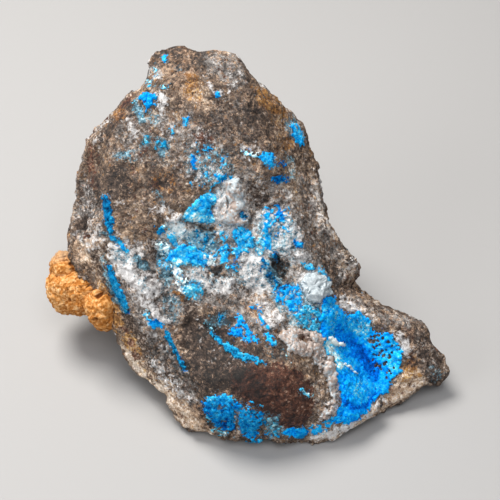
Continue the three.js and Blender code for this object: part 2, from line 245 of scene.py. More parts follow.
# Marks on the face, in view units. "share" is how much of the mark is covered, and
# "soft" is how far its edge fades.
whiteMarks = dict(
    leftQuartz=area([(106, 243), (116, 241), (126, 250), (134, 255), (138, 267), (146, 275), (157, 274),
        (163, 286), (159, 297), (148, 299), (137, 293), (126, 284), (117, 272), (109, 258)], share=0.92),
    leftQuartzLow=area([(126, 284), (150, 290), (158, 304), (146, 312), (132, 304)], share=0.55),
    greyQuartz=area([(158, 284), (172, 288), (176, 300), (168, 312), (160, 304)], share=0.4),
    centreQuartz=area([(186, 268), (206, 270), (214, 280), (232, 278), (238, 284), (230, 292),
        (212, 294), (200, 290), (190, 284)], share=0.85),
    betweenBlue=area([(238, 252), (252, 247), (262, 252), (270, 262), (272, 284), (262, 298), (246, 290),
        (236, 278)], share=0.88),
    underBlade=area([(216, 214), (226, 222), (242, 228), (234, 236), (224, 244), (214, 234)],
        share=0.62),
    besideCluster=area([(255, 214), (266, 209), (276, 216), (290, 214), (301, 232), (300, 252),
        (288, 258), (272, 254), (258, 252), (256, 236)], share=0.95),
    wedgeRight=area([(216, 192), (226, 182), (228, 206), (224, 222), (215, 226), (214, 206)],
        share=0.92),
    aroundKnob=area([(297, 276), (312, 270), (328, 278), (334, 294), (322, 308), (305, 309), (295, 297)],
        share=0.8),
    midPatch=area([(146, 204), (156, 206), (166, 200), (175, 212), (168, 222), (156, 218)], share=0.5),
    midStreak=area([(114, 198), (128, 199), (127, 207), (116, 206)], share=0.55),
    strandGaps=area([(166, 216), (178, 214), (187, 226), (184, 240), (174, 238), (164, 230)],
        share=0.85),
    lowerBand=area([(146, 328), (154, 330), (166, 346), (178, 364), (171, 366), (159, 352), (148, 342)],
        share=0.5),
    lowerBandTwo=area([(150, 360), (159, 366), (171, 378), (183, 390), (193, 402), (186, 405),
        (172, 392), (158, 378)], share=0.7),
    leftCream=area([(90, 218), (98, 217), (104, 226), (104, 240), (100, 254), (90, 252), (86, 240),
        (92, 230)], share=0.55),
    leftCreamLow=area([(72, 232), (82, 232), (88, 240), (84, 246), (74, 240)], share=0.4),
    leftGlass=area([(84, 174), (90, 176), (94, 200), (98, 214), (88, 218), (78, 216), (77, 206),
        (84, 200)], share=0.42),
    leftNotch=area([(92, 132), (102, 126), (104, 140), (98, 150), (93, 144)], share=0.55),
    crownSpot=area([(158, 93), (166, 92), (168, 106), (162, 112), (157, 106)]),
    crownStreak=stripe([(162, 112), (164, 140)], 6, share=0.5),
    besideCrown=area([(148, 66), (160, 66), (162, 80), (152, 86)], share=0.65),
    crownVein=stripe([(211, 86), (215, 97)], 3, soft=1.5, share=0.8),
    crownBranch=stripe([(219, 96), (229, 91), (234, 84), (240, 72)], 3.4, soft=1.5, share=0.8),
    underCrown=area([(128, 120), (140, 124), (142, 138), (132, 146), (126, 134)], share=0.45),
    upperSpecks=area([(166, 118), (182, 124), (184, 142), (168, 144)], share=0.34),
    upperSpecksRight=area([(188, 130), (212, 128), (218, 142), (202, 150), (190, 148)], share=0.42),
    midSpecks=area([(184, 164), (206, 160), (232, 166), (236, 182), (222, 190), (206, 186), (196, 190),
        (186, 180)], share=0.5),
    besideBright=area([(238, 146), (256, 142), (262, 150), (254, 158), (242, 158)], share=0.55),
    roundBlade=area([(220, 184), (238, 177), (247, 200), (251, 222), (238, 230), (220, 226), (214, 212)],
        share=0.65),
    tongueTop=area([(334, 291), (347, 296), (360, 303), (376, 316), (370, 326), (360, 316), (346, 312),
        (336, 304)], share=0.62),
    tongueRight=area([(394, 334), (404, 332), (411, 346), (409, 362), (402, 354), (396, 342)],
        share=0.9),
    lowerLip=area([(308, 428), (336, 426), (358, 414), (372, 404), (384, 398), (380, 408), (358, 424),
        (340, 438), (312, 442)], share=0.78),
    rimBand=area([(312, 346), (328, 350), (338, 362), (342, 376), (342, 396), (338, 412), (328, 422),
        (318, 420), (328, 400), (330, 384), (322, 368), (312, 358)], share=0.7),
    ell=stripe([(153, 308), (157, 317), (169, 320)], 7, soft=2),
    sparkle=stripe([(176, 268), (180, 276), (184, 290)], 9, soft=3),
    sparkleRight=stripe([(203, 257), (212, 262)], 7, soft=2),
    pinkLumps=area([(256, 302), (270, 303), (284, 311), (283, 326), (270, 331), (258, 322)], share=0.64),
    aboveKnob=area([(286, 250), (306, 248), (316, 258), (300, 266), (288, 262)], share=0.75),
    # painted highlight: a pale row along the lit edge of the upper block's ledge
    litLedgeRow=stripe([(118, 238), (134, 243)], 6, share=0.7),
    strands=area([(150, 238), (164, 240), (168, 256), (156, 260)], share=0.6),
    mottleGaps=area([(284, 300), (304, 300), (316, 312), (318, 326), (300, 322), (288, 312)], share=0.6),
    bandLow=stripe([(151, 358), (160, 370), (172, 384)], 8, share=0.7),
    peakRight=area([(202, 54), (228, 56), (238, 66), (232, 78), (208, 68)], share=0.2),
    shoulderSide=area([(284, 122), (291, 122), (296, 138), (289, 137)], share=0.6),
    lowCentre=area([(232, 280), (262, 284), (272, 296), (262, 303), (244, 301), (232, 297)], share=0.42),
    bedSpecks=area([(186, 312), (210, 320), (238, 348), (258, 362), (226, 372), (204, 370)], share=0.26,
        soft=7),
    leftQuartzTop=area([(118, 240), (140, 244), (143, 257), (128, 254)], share=0.72),
    tongueFront=area([(340, 300), (352, 304), (360, 312), (346, 313)], share=0.9),
)

greyMarks = dict(
    middle=area([(110, 236), (160, 232), (184, 224), (215, 178), (246, 166), (292, 188), (318, 238),
        (334, 292), (302, 330), (270, 340), (238, 330), (206, 306), (170, 332), (140, 320), (118, 288)],
        soft=9, share=0.85),
    lowerLeft=area([(120, 296), (146, 318), (170, 340), (196, 384), (206, 410), (190, 412), (162, 372),
        (136, 336)], share=0.8),
    rightSide=area([(292, 170), (320, 176), (326, 214), (346, 248), (358, 272), (340, 290), (326, 262),
        (308, 222)], share=0.75),
    leftSide=area([(74, 180), (92, 176), (102, 200), (108, 240), (96, 262), (70, 250)], share=0.8),
    tongueTop=area([(344, 286), (374, 304), (400, 312), (420, 320), (408, 332), (380, 322), (352, 302)],
        share=0.85),
    tongueTip=area([(410, 318), (430, 330), (450, 368), (446, 386), (424, 386), (412, 366)], share=0.7),
    peakRight=area([(200, 52), (232, 54), (246, 74), (240, 96), (226, 84), (206, 74)], share=0.95),
    upperRight=area([(210, 100), (240, 92), (258, 120), (262, 144), (236, 150), (212, 130)], share=0.55),
    specks=area([(112, 110), (150, 114), (190, 112), (232, 140), (262, 168), (240, 186), (196, 178),
        (150, 166), (112, 160)], soft=9, share=0.6),
    bulgeRight=area([(300, 376), (322, 382), (327, 408), (314, 420), (302, 404)], share=0.6),
)

rustMarks = dict(
    bulge=area([(226, 368), (246, 360), (262, 366), (282, 362), (300, 370), (312, 385), (316, 408),
        (308, 424), (292, 431), (268, 428), (262, 412), (240, 400), (226, 386)], soft=7),
    leftShoulder=area([(85, 142), (95, 146), (96, 172), (86, 168)], share=0.8),
    leftStreak=stripe([(90, 170), (95, 188)], 7, share=0.8),
    leftPit=stripe([(85, 228), (92, 236)], 6, soft=2),
    peakLeft=area([(119, 98), (130, 94), (132, 104), (122, 110)], share=0.9),
    crownDots=area([(139, 147), (149, 146), (150, 158), (140, 158)], share=0.7),
    upperDots=stripe([(152, 184), (158, 186)], 7, soft=3, share=0.7),
    clusterDots=stripe([(232, 260), (238, 262)], 6, soft=2, share=0.12),
    clusterDotLow=stripe([(242, 262), (245, 265)], 5, soft=2, share=0.12),
    rimHollow=area([(296, 335), (308, 335), (313, 342), (304, 348), (296, 343)], share=0.6),
    tongue=area([(403, 346), (412, 350), (417, 362), (408, 367)], share=0.7),
    bed=area([(206, 316), (232, 330), (262, 350), (258, 366), (228, 364), (208, 344)], soft=7,
        share=0.55),
    upperRight=area([(192, 132), (214, 134), (218, 152), (200, 156)], share=0.8),
    tongueTop=area([(398, 326), (412, 328), (416, 346), (404, 348)], share=0.5),
    limoniteSeat=stripe([(124, 330), (136, 356)], 5),
)

darkMarks = dict(
    matrixBed=area([(184, 306), (206, 314), (232, 334), (264, 352), (250, 370), (228, 392), (204, 394),
        (190, 372), (178, 342)], share=0.8, soft=8),
    band=stripe([(97, 254), (108, 280), (120, 304), (137, 332), (146, 352), (152, 366)], 12, soft=3,
        share=0.76),
    bandBelow=area([(138, 345), (150, 349), (166, 365), (184, 388), (192, 402), (180, 394), (162, 377),
        (146, 362)], share=0.6, soft=4),
    upperLeft=area([(104, 168), (126, 162), (133, 186), (122, 204), (110, 198)], share=0.7),
    leftViolet=area([(92, 172), (104, 176), (106, 196), (104, 212), (97, 208)], share=0.7),
    rightOfBlade=area([(246, 180), (268, 184), (272, 196), (264, 210), (254, 212), (248, 196)],
        share=0.62),
    leftOval=area([(76, 186), (80, 183), (83, 196), (81, 204), (77, 202)], soft=2),
    leftPit=area([(74, 220), (85, 217), (89, 225), (82, 232), (75, 231)], soft=3),
    tongueTip=area([(412, 318), (430, 330), (440, 352), (450, 368), (446, 384), (428, 386), (412, 366),
        (412, 340)], share=0.62),
    tongueRim=stripe([(360, 300), (372, 306), (384, 310)], 4, soft=3, share=0.6),
    rightSide=area([(310, 168), (320, 180), (324, 208), (344, 246), (356, 264), (346, 262), (330, 244),
        (312, 206)], share=0.25),
    upperRight=area([(214, 100), (244, 96), (262, 112), (274, 146), (246, 146), (214, 130)], share=0.5,
        soft=8),
    crownEdge=area([(240, 74), (250, 84), (262, 104), (250, 108), (240, 92)], share=0.6),
    pocketPits=area([(362, 328), (396, 332), (408, 352), (404, 378), (384, 388), (366, 366)], share=0.4),
    nook=area([(144, 240), (158, 240), (162, 262), (153, 264), (146, 252)], share=0.72),
    besideCavity=area([(268, 256), (280, 252), (288, 262), (286, 280), (278, 286), (270, 276)],
        share=0.9),
    underCentre=area([(184, 296), (196, 302), (206, 316), (192, 324), (182, 310)], share=0.8),
    gapLeft=stripe([(154, 284), (156, 312)], 4, soft=2, share=0.8),
    sideSpeck=stripe([(160, 182), (165, 186)], 6, soft=2),
    bulgeCorner=stripe([(308, 354), (318, 352), (326, 360)], 4, soft=3),
    edgeRow=area([(270, 166), (284, 170), (290, 188), (282, 204), (274, 192)], share=0.3),
)

tanMarks = dict(
    peak=area([(152, 54), (176, 47), (196, 50), (200, 76), (204, 106), (184, 108), (168, 84), (152, 80)],
        share=0.65, soft=9),
    paleStreak=area([(183, 84), (200, 86), (207, 100), (204, 107), (188, 104)], share=0.95),
    lowerRim=area([(122, 344), (134, 361), (148, 376), (162, 386), (174, 390), (188, 402), (204, 422),
        (217, 437), (202, 436), (184, 428), (170, 412), (164, 396), (148, 386), (132, 370)]),
    tongueEdge=area([(394, 382), (404, 369), (420, 368), (427, 376), (424, 388), (404, 401), (376, 416),
        (350, 433), (332, 442), (346, 426), (374, 405)]),
    tongueInner=area([(402, 326), (414, 330), (420, 350), (414, 366), (404, 360), (408, 344)],
        share=0.65),
    tongueTop=area([(380, 306), (418, 318), (420, 326), (392, 322)], share=0.5),
    pinkQuartz=area([(212, 284), (232, 282), (262, 287), (280, 300), (286, 318), (274, 332), (256, 330),
        (246, 312), (232, 300)], share=0.42),
    rimStart=area([(279, 332), (296, 328), (318, 332), (322, 350), (306, 358), (290, 350)]),
    shoulder=area([(272, 120), (288, 118), (296, 124), (298, 142), (292, 146), (276, 136)], share=0.7),
    leftLumps=area([(90, 218), (98, 217), (104, 226), (104, 240), (100, 254), (90, 252), (86, 240),
        (92, 230)], share=0.75),
    tongueTopLow=stripe([(346, 298), (372, 313)], 6, share=0.6),
    bulgeRight=area([(304, 372), (322, 378), (328, 404), (318, 420), (306, 404)], share=0.5),
    leftCream=area([(70, 238), (84, 240), (92, 252), (96, 268), (86, 264), (72, 256)], share=0.85),
    leftBand=stripe([(88, 250), (97, 268), (104, 284)], 7, share=0.7),
    rightSpot=area([(341, 259), (348, 260), (348, 268), (341, 268)]),
    # painted highlight: a pale row along the lit edge of the upper block's ledge
    litLedgeRow=stripe([(122, 234), (136, 239), (154, 234)], 6, soft=2),
    litLedgeRowEnd=area([(126, 236), (142, 236), (138, 246), (128, 246)], share=0.7),
    rightOlive=area([(290, 150), (314, 160), (320, 196), (306, 200), (294, 176)], share=0.4),
    lipEnd=area([(300, 434), (330, 430), (344, 430), (330, 443), (306, 445)], share=0.75),
    bedStreaks=area([(206, 372), (236, 366), (240, 382), (220, 392), (206, 388)], share=0.55),
    footTop=stripe([(222, 392), (244, 396)], 5, share=0.6),
)

ochreMarks = dict(
    gold=area([(184, 72), (200, 74), (204, 104), (186, 100)], share=0.75, soft=7),
    rightEdge=area([(252, 82), (266, 88), (284, 104), (288, 118), (272, 118), (256, 100)], share=0.75),
    rightEdgeLow=area([(278, 118), (290, 120), (298, 148), (286, 150)], share=0.7),
    leftEdge=area([(112, 106), (126, 104), (126, 118), (112, 122)], share=0.8),
    alongLump=stripe([(127, 338), (135, 351)], 10, soft=2),
    lowerEdge=stripe([(136, 362), (150, 384)], 4, share=0.6),
    speckA=stripe([(178, 292), (181, 298)], 5, soft=1.5),
    speckB=stripe([(224, 284), (228, 290)], 5, soft=2),
    speckC=stripe([(252, 310), (258, 318)], 5, soft=2, share=0.8),
    besideWedge=stripe([(216, 228), (220, 236)], 4, soft=2),
    tongue=stripe([(404, 380), (422, 374)], 8, share=0.7),
    tongueFace=area([(406, 352), (420, 356), (427, 374), (410, 384), (400, 378)], share=0.6),
    besideLump=area([(98, 282), (108, 288), (117, 304), (121, 318), (124, 328), (116, 330), (108, 320),
        (102, 300)]),
    underPeak=stripe([(152, 60), (152, 84)], 5, share=0.6),
    upperSpots=area([(150, 170), (178, 172), (178, 196), (154, 196)], share=0.4),
    clusterDot=stripe([(232, 258), (234, 262)], 6, soft=1.5),
    clusterDotRight=stripe([(240, 262), (245, 264)], 6, soft=1.5),
    shoulderLow=area([(278, 138), (288, 138), (290, 150), (280, 152)], share=0.7),
)

# rock tinted blue-grey by thin mineral dust
hazeMarks = dict(
    underWedge=area([(186, 230), (200, 228), (214, 232), (221, 246), (208, 255), (192, 249), (184, 240)],
        soft=3),
    lens=area([(133, 253), (141, 254), (151, 264), (154, 273), (144, 271), (136, 264)], soft=2),
    crownLeft=area([(131, 102), (138, 98), (143, 110), (150, 118), (144, 125), (134, 116)], soft=3),
    crownBelow=area([(148, 112), (160, 112), (162, 126), (150, 128)], share=0.65),
    darkTeal=area([(154, 139), (168, 138), (169, 150), (166, 160), (157, 156)], share=0.9),
    leftPale=area([(116, 152), (134, 150), (134, 161), (118, 162)], share=0.85),
    teal=area([(139, 141), (150, 135), (152, 142), (142, 150)], share=0.9),
    beforeCentre=area([(156, 240), (168, 240), (174, 256), (176, 274), (166, 286), (158, 276)],
        share=0.9),
    muted=area([(215, 314), (228, 311), (231, 325), (217, 327)], soft=2),
    mutedLeft=area([(203, 318), (212, 314), (217, 330), (210, 335)], share=0.75),
    lowerTeal=area([(162, 330), (172, 338), (186, 370), (190, 384), (176, 374), (164, 352)], share=0.4),
    bandGreen=area([(140, 348), (152, 351), (167, 366), (186, 390), (176, 390), (156, 370)], share=0.3),
    footLeft=area([(202, 402), (214, 416), (228, 430), (240, 440), (224, 441), (208, 424)], share=0.5),
    footRight=area([(262, 412), (280, 418), (284, 434), (266, 440)], share=0.8),
    besideCavity=area([(260, 260), (269, 260), (283, 281), (277, 287), (264, 278)], soft=3),
    peakSpot=area([(172, 60), (186, 62), (184, 74), (174, 72)], share=0.55),
    topStrip=stripe([(156, 64), (152, 84)], 8, share=0.6),
    veinSide=area([(98, 188), (104, 194), (105, 206), (100, 206)], share=0.35),
    veinGap=stripe([(106, 234), (116, 240)], 7, share=0.9),
    veinEdge=stripe([(102, 256), (105, 272), (112, 292), (122, 312)], 5, soft=2, share=0.8),
    leftQuartz=area([(134, 272), (150, 278), (152, 292), (138, 290)], share=0.55),
    middle=area([(152, 232), (186, 226), (222, 170), (246, 210), (290, 214), (300, 262), (276, 300),
        (232, 290), (190, 296), (158, 284)], share=0.42, soft=8),
    upper=area([(184, 146), (214, 140), (236, 160), (232, 184), (200, 188), (184, 172)], share=0.55),
    smear=area([(180, 280), (202, 278), (206, 294), (198, 302), (182, 296)], share=0.8),
    greyQuartz=area([(158, 286), (176, 288), (182, 306), (176, 326), (162, 312)], share=0.6),
    mottle=area([(266, 284), (300, 282), (322, 306), (324, 330), (296, 330), (276, 306)], share=0.7),
    bulgeSide=area([(262, 344), (288, 344), (292, 362), (268, 364)], share=0.35),
    tip=area([(428, 364), (444, 366), (442, 382), (430, 382)], share=0.5),
    rightColumn=area([(286, 152), (296, 156), (296, 180), (288, 184)], share=0.6),
    leftMid=area([(154, 190), (162, 190), (166, 204), (158, 206)], share=0.75),
    leftQuartzTop=area([(110, 244), (126, 248), (136, 262), (128, 270), (114, 260)], share=0.6),
    besideCluster=area([(255, 214), (276, 214), (290, 214), (301, 232), (300, 252), (272, 254),
        (256, 236)], share=0.6),
    shoulderSide=area([(284, 118), (296, 116), (298, 124), (294, 138), (286, 138)], share=0.75),
    strandGaps=area([(164, 222), (184, 218), (190, 238), (172, 244)], share=0.8),
)

# lighter and darker places, whatever their colour: partly the rock's own tone, partly painted light and
# painted shade
rockToneAndPaintedLightMarks = dict(
    # painted light: the lower rim, turned away from the lamps, is lightened
    lowerRim=area([(122, 344), (150, 376), (176, 390), (206, 422), (218, 438), (184, 432), (162, 400),
        (130, 372)], soft=6, shift=0.46),
    leftQuartz=area([(104, 242), (122, 244), (134, 262), (130, 284), (114, 270)], soft=6, shift=0.06),
    betweenBlue=area([(238, 232), (262, 230), (272, 262), (262, 290), (240, 276)], soft=8, shift=0.06),
    strandGaps=area([(164, 214), (184, 214), (188, 236), (168, 238)], soft=5, shift=0.36),
    bladeTop=area([(222, 178), (240, 176), (246, 200), (226, 206)], soft=4, shift=0.22),
    # painted light: the right flank, turned away from the lamps, is lightened
    rightFlank=area([(312, 178), (322, 190), (332, 222), (338, 236), (330, 238), (320, 222)], soft=6,
        shift=0.54),
    tongueEdge=area([(394, 380), (424, 366), (426, 388), (340, 444), (332, 436), (372, 404)], soft=5,
        shift=0.24),
    tongueTop=area([(344, 288), (374, 302), (404, 314), (380, 322), (350, 304)], soft=5, shift=0.04),
    upperRight=area([(236, 92), (256, 96), (284, 144), (262, 152), (240, 140)], soft=8, shift=-0.06),
    upperLeft=area([(100, 162), (128, 160), (136, 190), (108, 204)], soft=8, shift=-0.12),
    peakMiddle=area([(176, 86), (206, 84), (208, 106), (184, 108)], soft=6, shift=0.12),
    # painted shade: the peak's top is darkened
    peakTop=area([(150, 46), (206, 46), (206, 66), (150, 70)], soft=8, shift=-0.34),
    lensShade=area([(132, 250), (146, 250), (160, 272), (158, 290), (146, 286), (134, 270)], soft=5,
        shift=-0.3),
    bandShade=area([(140, 344), (154, 346), (188, 392), (196, 408), (176, 392), (152, 366)], soft=4,
        shift=-0.02),
    underArc=area([(256, 330), (286, 322), (290, 352), (264, 362)], soft=6, shift=-0.14),
    bedTop=area([(204, 302), (226, 306), (236, 318), (230, 332), (208, 326)], soft=6, shift=-0.18),
    arcBelow=area([(216, 340), (232, 350), (240, 340), (262, 346), (268, 362), (250, 356)], soft=4,
        shift=-0.14),
    leftEdge=area([(98, 132), (124, 102), (140, 110), (128, 134), (104, 144)], soft=6, shift=-0.24),
    muted=area([(204, 312), (232, 310), (236, 332), (212, 336)], soft=4, shift=-0.2),
    underWedge=area([(186, 230), (216, 230), (220, 246), (206, 254), (186, 244)], soft=4, shift=-0.02),
    edgeColumn=area([(282, 214), (302, 226), (304, 248), (288, 250)], soft=5, shift=0.02),
    rightTop=area([(296, 164), (314, 166), (318, 200), (302, 202)], soft=6, shift=-0.02),
    shoulderEdge=area([(280, 96), (298, 112), (308, 134), (296, 132), (284, 112)], soft=6, shift=0.2),
    upperFlank=area([(208, 84), (224, 92), (240, 120), (226, 128), (212, 106)], soft=6, shift=-0.1),
    tongueFace=area([(404, 350), (422, 354), (428, 380), (408, 388), (398, 380)], soft=5, shift=-0.04),
    tongueDark=area([(396, 326), (416, 326), (420, 344), (404, 348)], soft=4, shift=-0.14),
    bulgeRight=area([(302, 374), (320, 378), (328, 404), (318, 420), (304, 404)], soft=5, shift=0.12),
    centreLow=area([(204, 284), (236, 280), (262, 288), (252, 302), (220, 302)], soft=5, shift=-0.14),
    bed=area([(188, 308), (210, 320), (240, 350), (258, 366), (232, 388), (206, 392), (188, 360)],
        soft=8, shift=-0.16),
    leftColumn=area([(84, 186), (96, 186), (100, 214), (92, 240), (82, 236)], soft=5, shift=-0.2),
    footBeside=area([(196, 388), (210, 392), (206, 408), (214, 424), (202, 420)], soft=4, shift=-0.16),
    upperDark=area([(222, 142), (230, 150), (246, 134), (256, 150), (236, 168), (224, 164)], soft=6,
        shift=-0.2),
    underCentre=area([(184, 292), (200, 294), (204, 310), (188, 312)], soft=4, shift=0.14),
    besideKnob=area([(328, 262), (342, 268), (342, 292), (332, 296), (326, 280)], soft=4, shift=-0.28),
    bandInside=area([(174, 352), (190, 366), (200, 388), (190, 392), (176, 370)], soft=5, shift=-0.42),
    bandDark=area([(128, 322), (144, 326), (152, 352), (146, 370), (136, 350)], soft=3, shift=0.12),
    pocketTopRock=area([(350, 298), (374, 302), (376, 316), (356, 314)], soft=4, shift=0.1),
    # painted light: the low right side is lightened
    rightLow=area([(342, 248), (352, 256), (358, 268), (346, 284), (340, 272)], soft=6, shift=0.46),
    specks=area([(184, 158), (224, 154), (234, 178), (208, 188), (186, 182)], soft=7, shift=-0.04),
    besideCrown=area([(150, 62), (178, 62), (182, 96), (156, 96)], soft=6, shift=-0.1),
    leftMiddle=area([(148, 168), (176, 168), (178, 192), (160, 204), (148, 190)], soft=8, shift=-0.18),
    bulgeTop=area([(232, 372), (262, 372), (268, 402), (244, 400)], soft=7, shift=-0.28),
    footBelow=area([(206, 414), (226, 424), (244, 436), (226, 442), (208, 432)], soft=5, shift=-0.2),
    pinkLumps=area([(250, 298), (280, 296), (292, 318), (280, 334), (256, 326)], soft=6, shift=0.0),
    bedRight=area([(250, 338), (290, 336), (292, 356), (262, 362)], soft=5, shift=-0.12),
    cavitySide=area([(286, 258), (300, 258), (302, 282), (290, 284)], soft=4, shift=0.16),
    edgeStrip=area([(284, 158), (300, 164), (300, 210), (286, 204)], soft=6, shift=0.24),
    leftLow=area([(118, 318), (130, 322), (140, 346), (136, 366), (122, 346)], soft=5, shift=0.16),
    footShade=area([(204, 372), (236, 372), (246, 394), (214, 396)], soft=6, shift=-0.16),
    underLeft=area([(176, 300), (200, 304), (206, 320), (186, 326)], soft=5, shift=0.16),
    lowCorner=area([(172, 392), (200, 404), (216, 430), (190, 430), (170, 412)], soft=5, shift=-0.24),
    sideTop=area([(78, 176), (100, 176), (104, 204), (84, 206)], soft=5, shift=-0.12),
    crownLow=area([(140, 124), (162, 126), (166, 158), (142, 160)], soft=6, shift=-0.14),
    leftCream=area([(78, 236), (100, 240), (104, 262), (86, 262)], soft=5, shift=0.16),
    rimHigh=area([(136, 354), (160, 360), (176, 386), (164, 390), (142, 376)], soft=5, shift=0.1),
    crownRight=area([(236, 96), (262, 104), (266, 120), (244, 124)], soft=6, shift=-0.16),
    rimStart=area([(278, 330), (306, 328), (318, 340), (300, 350), (284, 346)], soft=4, shift=-0.12),
    peakMid=area([(196, 74), (216, 74), (222, 92), (204, 98)], soft=6, shift=0.12),
    crownUnder=area([(124, 116), (150, 112), (160, 124), (140, 134)], soft=6, shift=0.12),
    lowerLump=area([(140, 318), (164, 318), (166, 332), (148, 334)], soft=5, shift=0.2),
    quartzRight=area([(252, 214), (280, 208), (292, 224), (290, 250), (262, 256), (254, 236)], soft=6,
        shift=-0.02),
    lipEnd=area([(312, 424), (340, 416), (350, 428), (334, 442), (314, 442)], soft=4, shift=0.2),
    peakFace=area([(176, 54), (236, 56), (240, 84), (180, 86)], soft=7, shift=-0.1),
    bandWhite=area([(144, 326), (166, 334), (184, 366), (172, 374), (152, 352)], soft=5, shift=-0.22),
    greyQuartz=area([(158, 288), (182, 290), (184, 322), (162, 322)], soft=6, shift=-0.2),
    clusterLow=area([(218, 242), (246, 246), (248, 276), (222, 276)], soft=6, shift=-0.1),
    besideCluster=area([(252, 236), (272, 238), (274, 258), (256, 260)], soft=5, shift=0.12),
    strands=area([(172, 222), (198, 222), (200, 240), (176, 242)], soft=6, shift=0.22),
    upperGrey=area([(194, 134), (220, 134), (222, 158), (200, 162)], soft=6, shift=0.02),
    tongueFront=area([(336, 298), (352, 302), (364, 314), (346, 314)], soft=4, shift=0.2),
    leftPatch=area([(138, 198), (166, 198), (170, 222), (146, 224)], soft=7, shift=-0.02),
    upperSide=area([(200, 116), (224, 116), (230, 138), (206, 140)], soft=5, shift=-0.2),
    besideWedge=area([(216, 176), (244, 168), (262, 182), (262, 200), (240, 196), (222, 200)], soft=5,
        shift=0.14),
    lowerLeft=area([(84, 256), (104, 258), (108, 280), (94, 284)], soft=5, shift=0.14),
)

# hollows are sunk into the rock and painted dark as shade; the depth is in mm
hollowMarks = dict(
    bigCavity=area([(273, 258), (281, 256), (285, 268), (282, 280), (275, 276)], depth=1.1),
    cavity=area([(210, 268), (219, 266), (221, 276), (213, 280)], depth=1.0),
    leftCavity=area([(166, 274), (176, 271), (177, 278), (169, 282)], depth=0.9),
    smallCavity=area([(160, 256), (165, 255), (166, 260), (161, 260)], depth=0.7),
    deepSpot=area([(183, 300), (187, 299), (187, 307), (183, 306)], depth=0.8),
    besideKnob=area([(280, 283), (287, 282), (286, 291), (281, 290)], depth=0.8),
    underWedge=stripe([(197, 227), (206, 229), (214, 232)], 3, depth=0.7),
    wedgeCorner=area([(182, 219), (188, 219), (188, 225), (183, 225)], depth=0.6),
    rightPit=area([(288, 244), (293, 243), (294, 249), (289, 249)], depth=0.7),
    clusterPit=stripe([(246, 258), (248, 264)], 3, depth=0.6),
    crack=stripe([(154, 284), (157, 298), (155, 312)], 1.4, depth=0.5),
    bladeCrack=stripe([(243, 192), (247, 206), (250, 216)], 1.6, depth=0.5),
    bladeCrackLeft=stripe([(226, 196), (228, 208)], 1.2, depth=0.4),
    layerA=stripe([(104, 262), (120, 300), (140, 336), (152, 352)], 1.8, depth=0.5),
    layerB=stripe([(118, 308), (134, 338), (158, 372), (186, 402)], 1.8, depth=0.6),
    layerC=stripe([(150, 340), (172, 366), (196, 400)], 1.6, depth=0.5),
    blockEdge=stripe([(112, 241), (124, 240)], 2, depth=0.3),
    tonguePits=stripe([(360, 312), (363, 316)], 3, depth=0.5),
    footGap=stripe([(233, 414), (236, 424), (232, 436)], 4, depth=0.5),
    footCorner=area([(257, 424), (264, 424), (266, 431), (259, 432)], depth=0.5),
    arcPit=stripe([(246, 316), (249, 322)], 3, depth=0.5),
    edgeCrack=stripe([(146, 330), (160, 344), (170, 358)], 1.4, depth=0.4),
)

